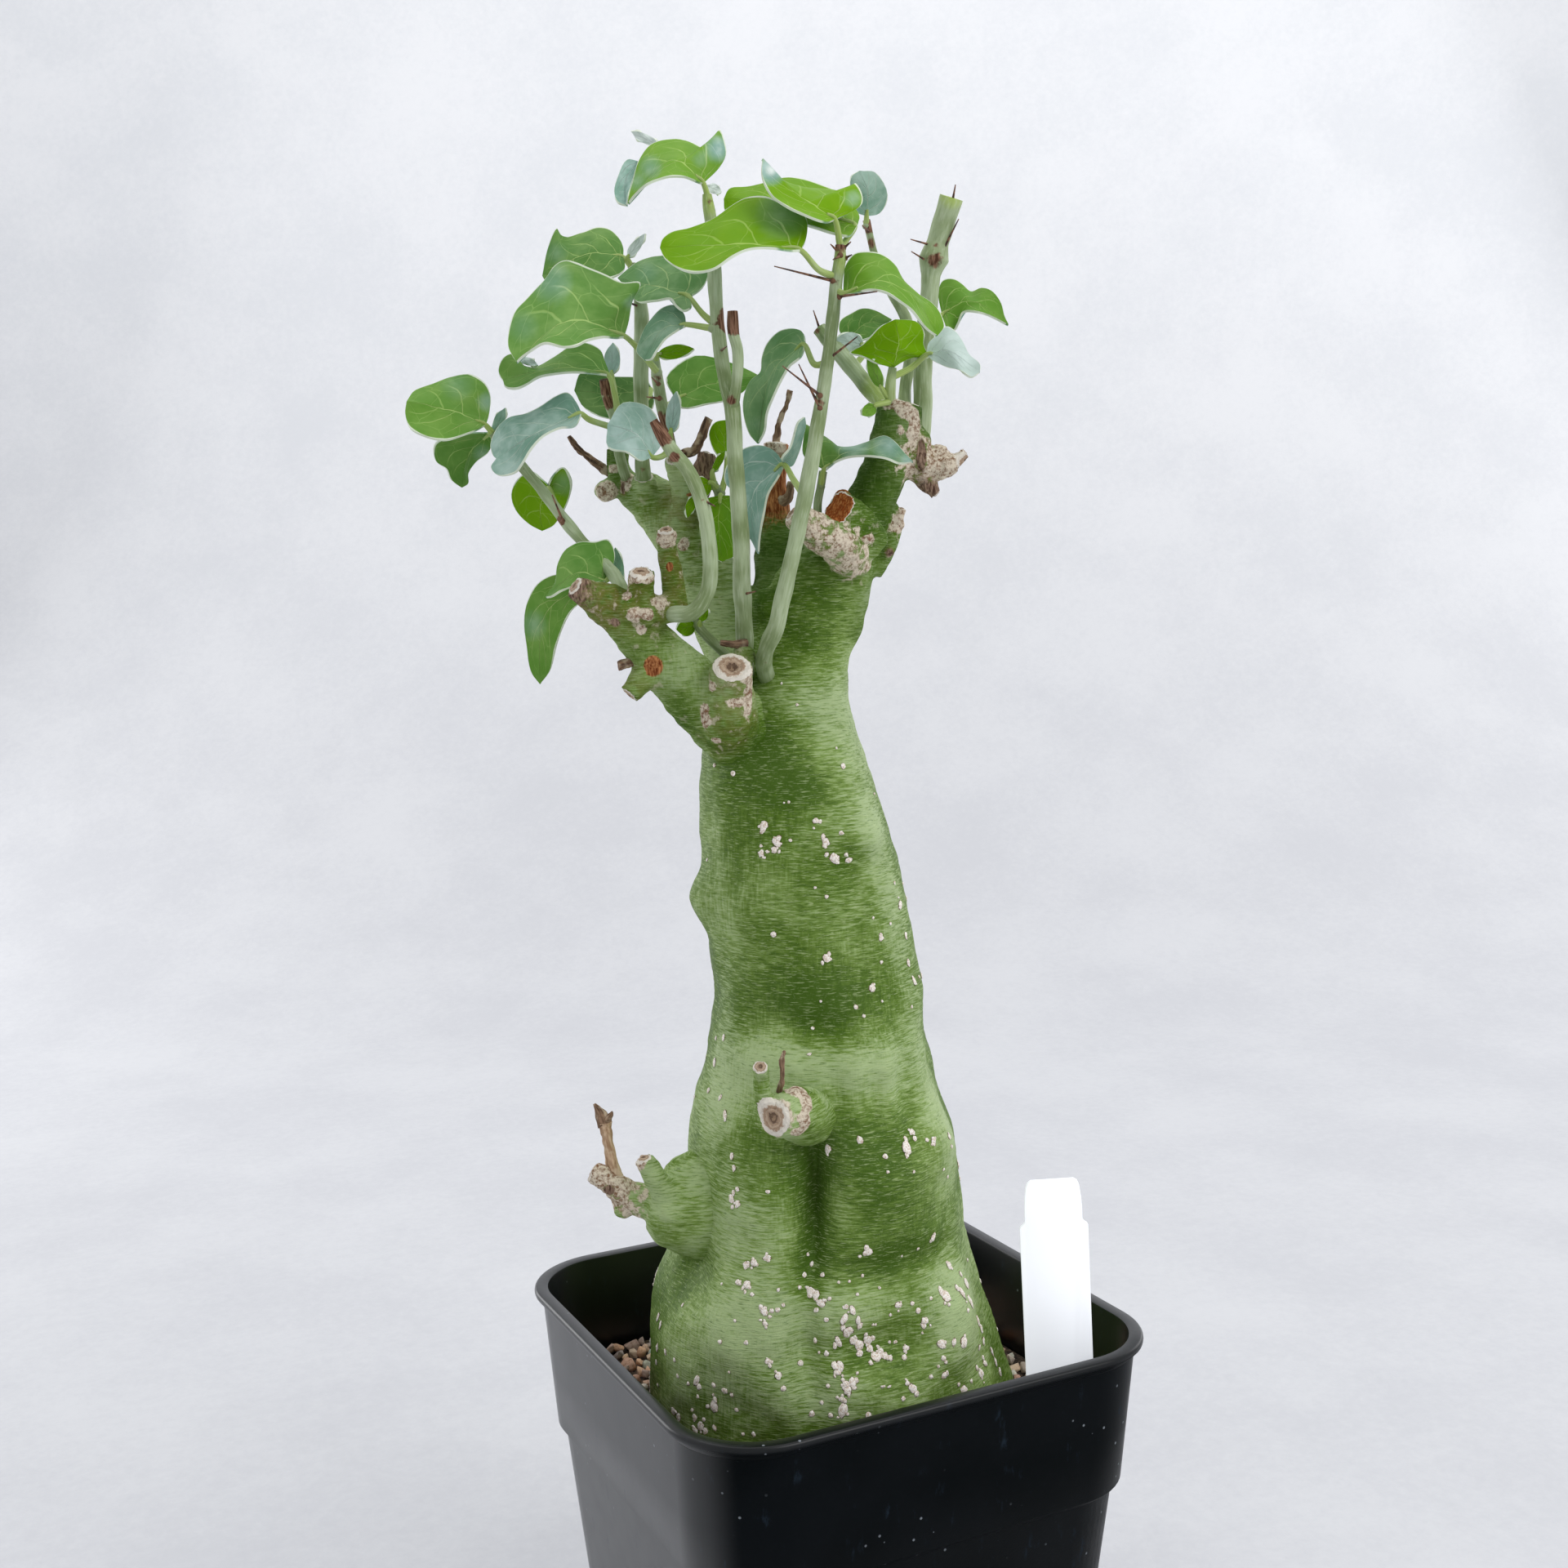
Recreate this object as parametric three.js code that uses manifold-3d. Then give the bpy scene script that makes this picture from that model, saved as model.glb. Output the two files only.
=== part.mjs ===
// A caudex plant with a swollen green trunk, cut-back woody branches and young leafy
// shoots, growing in a square black nursery pot with a gravel top and a plant label.
//
// Millimetres, +Z up. The origin is the middle of the pot's underside, and the pot's
// walls are parallel to X and Y.

import * as THREE from "three";
import Module from "manifold-3d";

const wasm = await Module();
wasm.setup();

// Driving dimensions

const POT_WIDTH = 115; // across the lip
const POT_HEIGHT = 112;
const POT_CORNER = 20; // outer radius of the lip's corners
const LIP_OVERHANG = 1.7;
const LIP_THICKNESS = 1.6;
const WALL = 1.5;
const COLLAR_DRAFT = 0.07; // how much each wall leans in per millimetre of height
const DRAFT = 0.096; // the same below the ledge
const COLLAR_HEIGHT = 33.5; // from the lip's top to the ledge
const COLLAR_LEDGE = 1.3;
const FLOOR = 2.5;
const DRAIN_RADIUS = 5;
const DRAIN_OFFSET = 27; // from the middle of the pot, along X and Y

const SOIL_DEPTH = 22; // from the lip's top down to the gravel
const PEBBLE = 4.6; // radius of a coarse pebble
const PEBBLE_PITCH = 10;
const GAP = 0.35; // between pieces that touch

const LABEL_LENGTH = 96;
const LABEL_WIDTH = 15;
const LABEL_THICKNESS = 0.9;
const LABEL_HEAD_WIDTH = 12.6;
const LABEL_HEAD_LENGTH = 10;
const LABEL_POINT_LENGTH = 24;

const BLADE = 0.8; // leaf thickness
const STALK_RADIUS = 0.8;
const SPINE_RADIUS = 0.5;
const SOCKET_DEPTH = 5; // how far a shoot's root is sunk in the wood

// The plant is set out by sight. A place is [x, y, near]: x and y are where the eye sees
// it on a square picture PICTURE pixels wide, and near is how far it stands, in
// millimetres, in front of the upright plane through the pot's axis that faces the eye.

const PICTURE = 1920;
const FOCAL = 2235.6; // in pixels
const EYE = new THREE.Vector3(-192.5, -361.9, POT_HEIGHT + 170.2);
const EYE_AZIMUTH = THREE.MathUtils.degToRad(-26.93);
const EYE_DOWN = THREE.MathUtils.degToRad(6.65);
const EYE_ROLL = THREE.MathUtils.degToRad(-1.09);

const UP = new THREE.Vector3(0, 0, 1);
const toward = new THREE.Vector3(Math.sin(EYE_AZIMUTH), -Math.cos(EYE_AZIMUTH), 0);
const ahead = toward.clone().multiplyScalar(-Math.cos(EYE_DOWN)).addScaledVector(UP, -Math.sin(EYE_DOWN));
const level = new THREE.Vector3().crossVectors(ahead, UP).normalize();
const upright = new THREE.Vector3().crossVectors(level, ahead);
const rightward = level.clone().applyAxisAngle(ahead, -EYE_ROLL);
const upward = upright.clone().applyAxisAngle(ahead, -EYE_ROLL);

function at([x, y, near]) {
  const ray = ahead
    .clone()
    .addScaledVector(rightward, (x - PICTURE / 2) / FOCAL)
    .addScaledVector(upward, (PICTURE / 2 - y) / FOCAL);
  const reach = (near - EYE.dot(toward)) / ray.dot(toward);
  return EYE.clone().addScaledVector(ray, reach);
}

// Solids

function solid(points, faces) {
  const vertProperties = new Float32Array(points.flatMap((p) => p.toArray()));
  const make = (tris) => {
    const triVerts = new Uint32Array(tris.flat());
    return new wasm.Manifold(new wasm.Mesh({ numProp: 3, vertProperties, triVerts }));
  };
  const made = make(faces);
  return made.volume() < 0 ? make(faces.map(([a, b, c]) => [a, c, b])) : made;
}

function union(solids) {
  return solids.reduce((whole, next) => whole.add(next));
}

function extruded(shape, depth, matrix) {
  const source = new THREE.ExtrudeGeometry(shape, { depth, bevelEnabled: false, curveSegments: 4 });
  return fromGeometry(source.applyMatrix4(matrix));
}

function fromGeometry(geometry) {
  const flat = geometry.index ? geometry.toNonIndexed() : geometry;
  const position = flat.getAttribute("position");
  const points = [];
  const seen = new Map();
  const corner = (i) => {
    const p = new THREE.Vector3().fromBufferAttribute(position, i);
    const key = p.toArray().map((v) => v.toFixed(4)).join();
    if (!seen.has(key)) seen.set(key, points.push(p) - 1);
    return seen.get(key);
  };
  const faces = [];
  for (let i = 0; i < position.count; i += 3) {
    const [a, b, c] = [corner(i), corner(i + 1), corner(i + 2)];
    if (a !== b && b !== c && c !== a) faces.push([a, b, c]);
  }
  return solid(points, faces);
}

// A skin stretched over closed loops of equally many points, with a fan at each end.
function loft(rings) {
  const sides = rings[0].length;
  const middle = (ring) => ring.reduce((sum, p) => sum.add(p), new THREE.Vector3()).divideScalar(sides);
  const points = [...rings.flat(), middle(rings[0]), middle(rings[rings.length - 1])];
  const first = points.length - 2;
  const last = points.length - 1;
  const top = (rings.length - 1) * sides;
  const faces = [];
  for (let s = 0; s < sides; s++) {
    const n = (s + 1) % sides;
    for (let r = 0; r < top; r += sides) {
      faces.push([r + s, r + n, r + sides + n], [r + s, r + sides + n, r + sides + s]);
    }
    faces.push([first, n, s], [last, top + s, top + n]);
  }
  return solid(points, faces);
}

// A limb along places, with a radius at each. Its sides swell and shrink by lump.
function limb(places, radii, { sides = 8, step = 5, lump = 0, grow = 0, skip = 0 } = {}) {
  const knots = places.map((p) => (p.isVector3 ? p : at(p)));
  const curve = new THREE.CatmullRomCurve3(knots, false, "centripetal");
  const steps = Math.max(knots.length - 1, Math.round(curve.getLength() / step));
  const across = new THREE.Vector3();
  const rings = [];
  for (let i = skip; i <= steps; i++) {
    const t = i / steps;
    const along = curve.getTangent(t);
    if (i === skip) across.crossVectors(along, Math.abs(along.z) > 0.8 ? new THREE.Vector3(1, 0, 0) : UP);
    across.addScaledVector(along, -across.dot(along)).normalize();
    const over = new THREE.Vector3().crossVectors(along, across);
    const place = t * (radii.length - 1);
    const k = Math.min(Math.floor(place), radii.length - 2);
    const radius = THREE.MathUtils.lerp(radii[k], radii[k + 1], place - k) + grow;
    const middle = curve.getPoint(t);
    rings.push(
      Array.from({ length: sides }, (_, s) => {
        const turn = (2 * Math.PI * s) / sides;
        const r = radius * (1 + lump * Math.sin(3 * turn + 2.1 * i) * Math.cos(1.7 * i));
        const [side, front] = [r * Math.cos(turn), r * Math.sin(turn)];
        return middle.clone().addScaledVector(across, side).addScaledVector(over, front);
      }),
    );
  }
  return loft(rings);
}

function knob(place, radius) {
  return fromGeometry(new THREE.SphereGeometry(radius, 6, 3).translate(...at(place).toArray()));
}

// A spine or dry tendril, from its foot on the stem to its sharp end.
function spine(foot, end) {
  return limb([foot, end], [SPINE_RADIUS, 0.16], { sides: 3, step: 50 });
}

// The pot: a moulded shell with an overhanging lip, a collar and a ledge

const wallAt = (z) => {
  const below = POT_HEIGHT - z;
  const collar = Math.min(below, COLLAR_HEIGHT);
  const ledge = below > COLLAR_HEIGHT ? COLLAR_LEDGE : 0;
  return POT_WIDTH / 2 - LIP_OVERHANG - collar * COLLAR_DRAFT - (below - collar) * DRAFT - ledge;
};

// A loop round a square of half width half, with rounded corners, at height z.
function squareRing(half, corner, z) {
  const cornerSteps = 4;
  const ring = [];
  for (let c = 0; c < 4; c++) {
    const [sx, sy] = [[1, 1], [-1, 1], [-1, -1], [1, -1]][c];
    for (let i = 0; i <= cornerSteps; i++) {
      const turn = (Math.PI / 2) * (c + i / cornerSteps);
      const x = sx * (half - corner) + corner * Math.cos(turn);
      const y = sy * (half - corner) + corner * Math.sin(turn);
      ring.push(new THREE.Vector3(x, y, z));
    }
  }
  return ring;
}

function makePot() {
  const ring = (inset, z) => squareRing(wallAt(z) - inset, POT_CORNER - LIP_OVERHANG - inset, z);
  const lip = (out, z) => squareRing(POT_WIDTH / 2 - LIP_OVERHANG + out, POT_CORNER - LIP_OVERHANG + out, z);
  const ledge = POT_HEIGHT - COLLAR_HEIGHT;
  const bevel = 0.5;
  const shell = loft([
    squareRing(wallAt(0) - 1, POT_CORNER - LIP_OVERHANG - 1, 0),
    ring(0, 1),
    ring(0, ledge - 1.2),
    ring(0, ledge + 0.01),
    ring(0, POT_HEIGHT - LIP_THICKNESS - 0.4),
    lip(LIP_OVERHANG - 0.2, POT_HEIGHT - LIP_THICKNESS),
    lip(LIP_OVERHANG, POT_HEIGHT - bevel),
    lip(LIP_OVERHANG - bevel, POT_HEIGHT),
    lip(bevel - WALL - 0.2, POT_HEIGHT),
    lip(-WALL - 0.2, POT_HEIGHT - bevel),
    ring(WALL, ledge + 0.01),
    ring(WALL, ledge - 1.2),
    ring(WALL, FLOOR + 1.5),
    squareRing(wallAt(FLOOR) - WALL - 1.5, POT_CORNER - LIP_OVERHANG - WALL - 1.5, FLOOR),
  ]);
  const drain = (x, y) => {
    const hole = new THREE.CylinderGeometry(DRAIN_RADIUS, DRAIN_RADIUS, 4 * FLOOR, 10);
    return fromGeometry(hole.rotateX(Math.PI / 2).translate(x, y, 0));
  };
  const holes = [-1, 1].flatMap((sx) => [-1, 1].map((sy) => drain(sx * DRAIN_OFFSET, sy * DRAIN_OFFSET)));
  return holes.reduce((pot, hole) => pot.subtract(hole), shell);
}

// The swollen trunk. Each row is [y, left, right]: where its two edges are seen, from
// the rounded foot under the gravel to the fork.

const TRUNK_ROWS = [
  [1838, 905, 1130],
  [1800, 845, 1195],
  [1750, 808, 1232],
  [1705, 798, 1240],
  [1660, 795, 1230],
  [1610, 797, 1213],
  [1565, 803, 1199],
  [1520, 818, 1184],
  [1470, 832, 1179],
  [1420, 842, 1170],
  [1380, 846, 1166],
  [1340, 851, 1150],
  [1300, 861, 1140],
  [1260, 870, 1131],
  [1205, 875, 1127],
  [1150, 868, 1117],
  [1100, 860, 1107],
  [1050, 860, 1097],
  [1000, 858, 1083],
  [950, 856, 1068],
  [900, 864, 1050],
  [860, 882, 1040],
  [820, 905, 1040],
  [780, 924, 1047],
  [740, 936, 1056],
  [700, 950, 1062],
  [672, 975, 1056],
];
const RING_STEP = 8.5;
const TRUNK_SIDES = 28;

// Swellings and hollows of the skin: [x, y, across, along, height, behind]. They are seen
// at x and y, across and along are their sizes, and the last ones are on the far side.
const SKIN = [
  [852, 1102, 5, 6, 3.6],
  [1046, 1022, 8, 5, 3.2],
  [990, 985, 12, 16, 1.4],
  [1000, 1300, 15, 7, 3.4],
  [1078, 1310, 9, 12, 3.2],
  [1098, 1330, 4, 12, -2.2],
  [950, 1362, 9, 9, 6.5],
  [1158, 1392, 9, 11, 3.6],
  [1085, 1440, 12, 18, 4.2],
  [996, 1455, 4.5, 17, -6.5],
  [930, 1480, 12, 16, 3.2],
  [1100, 1552, 24, 4, -1.8],
  [850, 1556, 8, 7, -3.2],
  [905, 1612, 11, 11, 3.4],
  [1160, 1620, 10, 10, 3.2],
  [1010, 1610, 10, 9, 2.0],
  [985, 1660, 4, 11, -3.4],
  [1080, 1650, 14, 5, -2.6],
  [950, 1700, 10, 8, 2.2],
  [1090, 1712, 12, 7, 2.4],
  [835, 1650, 8, 14, 2.0],
  [1000, 1190, 10, 18, 1.6, true],
  [960, 1400, 14, 16, 4.5, true],
  [1020, 1410, 4.5, 20, -5.5, true],
  [1090, 1450, 13, 17, 4.0, true],
  [1120, 1580, 12, 10, 3.0, true],
  [930, 1600, 13, 10, 3.4, true],
  [1010, 1050, 7, 6, 3.4, true],
];

const trunkRows = TRUNK_ROWS.map(([y, left, right]) => {
  const [l, r] = [at([left, y, 0]), at([right, y, 0])];
  const middle = l.clone().add(r).divideScalar(2);
  return { z: middle.z, x: middle.x, y: middle.y, radius: l.distanceTo(r) / 2 };
});

function trunkRow(z) {
  let k = trunkRows.findIndex((row) => row.z > z);
  if (k < 0) k = trunkRows.length - 1;
  k = Math.max(k, 1);
  const [a, b] = [trunkRows[k - 1], trunkRows[k]];
  const t = THREE.MathUtils.clamp((z - a.z) / (b.z - a.z), 0, 1);
  const mix = (key) => THREE.MathUtils.lerp(a[key], b[key], t);
  return { x: mix("x"), y: mix("y"), radius: mix("radius") };
}

const skinBumps = SKIN.map(([x, y, across, along, height, behind]) => {
  let place = at([x, y, 0]);
  for (let i = 0; i < 3; i++) {
    const row = trunkRow(place.z);
    const axis = new THREE.Vector3(row.x, row.y, place.z);
    const side = THREE.MathUtils.clamp(place.clone().sub(axis).dot(level) / row.radius, -0.98, 0.98);
    const depth = row.radius * Math.sqrt(1 - side * side) * (behind ? -1 : 1);
    place = at([x, y, axis.dot(toward) + depth]);
  }
  const row = trunkRow(place.z);
  return { z: place.z, angle: Math.atan2(place.y - row.y, place.x - row.x), across, along, height };
});

function skinRadius(radius, angle, z) {
  const swell = skinBumps.reduce((sum, bump) => {
    const apart = Math.atan2(Math.sin(angle - bump.angle), Math.cos(angle - bump.angle)) * radius;
    const spread = (apart / bump.across) ** 2 + ((z - bump.z) / bump.along) ** 2;
    return sum + bump.height * Math.exp(-spread);
  }, 0);
  return radius + swell;
}

function makeCaudex(grow = 0) {
  const [bottom, top] = [trunkRows[0].z - grow, trunkRows[trunkRows.length - 1].z];
  const count = Math.round((top - bottom) / RING_STEP);
  const rings = [];
  for (let i = 0; i <= count; i++) {
    const z = THREE.MathUtils.lerp(bottom, top, i / count);
    const row = trunkRow(z);
    rings.push(
      Array.from({ length: TRUNK_SIDES }, (_, s) => {
        const angle = (2 * Math.PI * (s - i / 2)) / TRUNK_SIDES;
        const r = skinRadius(row.radius, angle, z) + grow;
        return new THREE.Vector3(row.x + r * Math.cos(angle), row.y + r * Math.sin(angle), z);
      }),
    );
  }
  return loft(rings);
}

// Woody limbs that grow out of the trunk, with their cut ends, knots and dead twigs.
// Each is [places, radii], from its root inside the wood to its end.

const THICK_LIMBS = [
  [
    [[935, 912, 4], [885, 876, 11], [842, 838, 17], [800, 795, 21], [765, 757, 24], [736, 733, 26]],
    [10, 8.4, 7, 5.8, 5, 4.6],
  ],
  [
    [[930, 835, -4], [896, 768, -10], [862, 702, -15], [830, 648, -18], [800, 614, -20], [772, 594, -20]],
    [9.5, 8.4, 7.5, 6.8, 6, 4.6],
  ],
  [
    [[1000, 765, 0], [1022, 705, 1], [1046, 652, 2], [1070, 605, 3], [1088, 560, 4], [1099, 520, 4],
      [1104, 492, 4]],
    [12, 8.8, 6.4, 5.3, 5.1, 5.3, 4.8],
  ],
  [
    [[965, 750, -10], [960, 705, -14], [955, 668, -16], [950, 645, -17]],
    [9, 6.8, 6, 4.6],
  ],
];

const STUBS = [
  [[[895, 908, 10], [893, 872, 19], [894, 836, 22], [895, 812, 23]], [6.5, 6.2, 4.9, 4.8]],
  [[[742, 738, 26], [722, 729, 28], [702, 716, 30]], [4.4, 3.4, 2.2]],
  [[[784, 762, 24], [785, 728, 27], [785, 696, 27]], [4.2, 2.8, 2.6]],
  [[[775, 752, 25], [806, 748, 25], [832, 748, 26]], [4, 3.4, 2.3]],
  [[[826, 752, 23], [824, 715, 22], [818, 680, 22], [814, 645, 22]], [3, 2.5, 2.3, 1.9]],
  [[[800, 815, 21], [783, 836, 23], [769, 852, 24]], [4, 2.7, 2.2]],
  [[[785, 808, 21], [757, 815, 24]], [1.8, 1]],
  [[[775, 606, -20], [758, 576, -20], [756, 547, -19]], [3.6, 2.7, 2.5]],
  [[[768, 588, -20], [742, 576, -20], [722, 561, -20], [705, 547, -20], [697, 534, -20]],
    [2, 1.7, 1.4, 1.1, 0.6]],
  [[[800, 618, -19], [790, 598, -15], [788, 582, -13]], [4.4, 3, 2.5]],
  [[[835, 662, -16], [840, 608, -12], [825, 560, -3]], [5.4, 3.6, 2.3]],
  [[[838, 606, -12], [837, 557, -11], [849, 553, -11], [868, 512, -11]], [2, 1.6, 1.6, 1.3]],
  [[[842, 622, -15], [860, 582, -17], [868, 553, -17]], [4, 2.8, 2.2]],
  [[[950, 655, -17], [946, 602, -17], [950, 562, -17], [951, 541, -17]], [4.6, 3.3, 2.5, 3.2]],
  [[[948, 618, -16], [965, 608, -14], [969, 590, -13]], [1.8, 1.1, 0.8]],
  [[[948, 560, -17], [954, 518, -17], [963, 496, -17], [968, 478, -17]], [1.5, 0.9, 0.8, 1.1]],
  [[[1052, 694, 6], [1036, 670, 13], [1010, 655, 17], [986, 641, 20], [968, 627, 21]],
    [5.2, 5, 4.5, 3.5, 2.6]],
  [[[1064, 668, 6], [1046, 641, 11], [1026, 622, 15]], [5, 4.7, 4]],
  [[[1066, 698, 0], [1084, 668, 0], [1097, 642, 1], [1105, 621, 1]], [3, 2.5, 2.1, 1.4]],
  [[[1104, 556, 3], [1138, 560, 2], [1160, 568, 3], [1180, 558, 3]], [4.6, 3.8, 3.2, 3.3]],
  [[[1118, 572, 2], [1134, 591, 2], [1148, 607, 2]], [3, 1.9, 1.4]],
  [[[880, 1470, 8], [840, 1470, 12], [812, 1472, 14], [793, 1472, 14]], [14, 10.5, 7.6, 4.4]],
  [[[800, 1474, 14], [768, 1462, 14], [745, 1446, 14], [723, 1436, 14]], [4, 3.2, 2.8, 2]],
  [[[757, 1455, 14], [750, 1425, 13], [743, 1390, 12], [734, 1357, 11]], [1.8, 1.3, 1.1, 1.6]],
  [[[818, 1466, 18], [801, 1440, 20], [788, 1417, 21]], [3.4, 2.6, 1.9]],
  [[[1000, 1385, 26], [978, 1376, 36], [958, 1368, 43], [946, 1366, 46]], [9.5, 6.6, 4.6, 3.2]],
  [[[940, 1372, 38], [932, 1338, 42], [931, 1303, 42]], [2.2, 1.4, 1.35]],
];

const KNOBS = [
  [[767, 748, 29], 2.4],
  [[790, 754, 29], 2.4],
  [[743, 600, -18], 2.8],
  [[1123, 540, 4], 3.2],
  [[1113, 508, 6], 2.8],
  [[862, 884, 19], 2.4],
  [[940, 742, 3], 4.2],
  [[1055, 655, 12], 2.4],
  [[980, 1350, 36], 2.4],
];

function makeTrunk() {
  const thick = THICK_LIMBS.map(([places, radii]) => limb(places, radii, { sides: 10, step: 8, lump: 0.05 }));
  const stubs = STUBS.map(([places, radii]) => limb(places, radii, { sides: 6, step: 9, lump: 0.06 }));
  const knobs = KNOBS.map(([place, radius]) => knob(place, radius));
  return union([makeCaudex(), ...thick, ...stubs, ...knobs]);
}

// A leaf is a blade on a stalk. rib runs down its middle from base to tip, and left and
// right are places along its two margins, from base to tip. The margins also wave, WAVE
// millimetres either way.

const WAVE = 0.7;
const LARGE_LEAF = 22; // a shorter leaf is made of fewer facets

function bladePoint(leaf, t, s) {
  const through = (places) => {
    const knots = places.map((p) => new THREE.Vector3(...p));
    return new THREE.CatmullRomCurve3(knots, false, "centripetal");
  };
  const [base, , tip] = leaf.rib;
  const margin = through([base, ...(s < 0 ? leaf.left : leaf.right), tip]).getPoint(t);
  const point = through(leaf.rib).getPoint(t).lerp(margin, Math.abs(s));
  point.z += WAVE * s * s * Math.sin(Math.PI * t) * Math.sin(10 * t + (s < 0 ? 0 : 1.3));
  return at(point.toArray());
}

// A small leaf or leaflet: its margins stand half a blade's width either side of its rib.
function plain(base, tip, half) {
  const mix = (t) => base.map((v, i) => THREE.MathUtils.lerp(v, tip[i], t));
  const [dx, dy] = [tip[0] - base[0], tip[1] - base[1]];
  const out = half / Math.hypot(dx, dy);
  const beside = (t, width) => {
    const [x, y, near] = mix(t);
    return [x - dy * out * width, y + dx * out * width, near + width * half * 0.08];
  };
  const side = (sign) => [beside(0.2, 0.8 * sign), beside(0.5, sign), beside(0.8, 0.6 * sign)];
  return { rib: [base, mix(0.5), tip], left: side(1), right: side(-1), small: true };
}

function makeBlade(leaf) {
  const large = at(leaf.rib[0]).distanceTo(at(leaf.rib[2])) > LARGE_LEAF;
  const [last, half] = leaf.small ? [3, 1] : [large ? 6 : 5, 2];
  const columns = 2 * half;
  const rows = [];
  const points = [];
  for (let i = 0; i <= last; i++) {
    const t = i / last;
    const end = i === 0 || i === last;
    const row = [];
    for (let j = 0; j <= columns; j++) {
      if (end && j) {
        row.push(row[0]);
        continue;
      }
      const s = end ? 0 : j / half - 1;
      const inner = THREE.MathUtils.clamp(t, 0.06, 0.94);
      const [before, after] = [Math.max(s - 0.1, -1), Math.min(s + 0.1, 1)];
      const lengthwise = bladePoint(leaf, inner + 0.03, s).sub(bladePoint(leaf, inner - 0.03, s));
      const crosswise = bladePoint(leaf, inner, after).sub(bladePoint(leaf, inner, before));
      const face = lengthwise.cross(crosswise).normalize().multiplyScalar(BLADE / 2);
      const middle = bladePoint(leaf, t, s);
      row.push(points.push(middle.clone().add(face), middle.sub(face)) - 2);
    }
    rows.push(row);
  }
  const faces = [];
  const add = (a, b, c) => {
    if (a !== b && b !== c && c !== a) faces.push([a, b, c]);
  };
  for (let i = 0; i < last; i++) {
    for (let j = 0; j < columns; j++) {
      const [a, b, c, d] = [rows[i][j], rows[i][j + 1], rows[i + 1][j + 1], rows[i + 1][j]];
      add(a, b, c);
      add(a, c, d);
      add(a + 1, c + 1, b + 1);
      add(a + 1, d + 1, c + 1);
    }
    for (const [j, first, second] of [[0, 0, 1], [columns, 1, 0]]) {
      const [a, b] = [rows[i][j], rows[i + 1][j]];
      add(a + first, b + first, b + second);
      add(a + first, b + second, a + second);
    }
  }
  return solid(points, faces);
}

// The stalk runs from its root on the stem, through any places between, into the blade.
function makeLeaf(leaf) {
  const blade = makeBlade(leaf);
  if (!leaf.stalk) return blade;
  const places = [...leaf.stalk.map(at), bladePoint(leaf, 0.02, 0), bladePoint(leaf, 0.15, 0)];
  const radii = places.map((_, i) => (i < places.length - 1 ? STALK_RADIUS : STALK_RADIUS * 0.7));
  return union([blade, limb(places, radii, { sides: 4, step: 9 })]);
}

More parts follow.
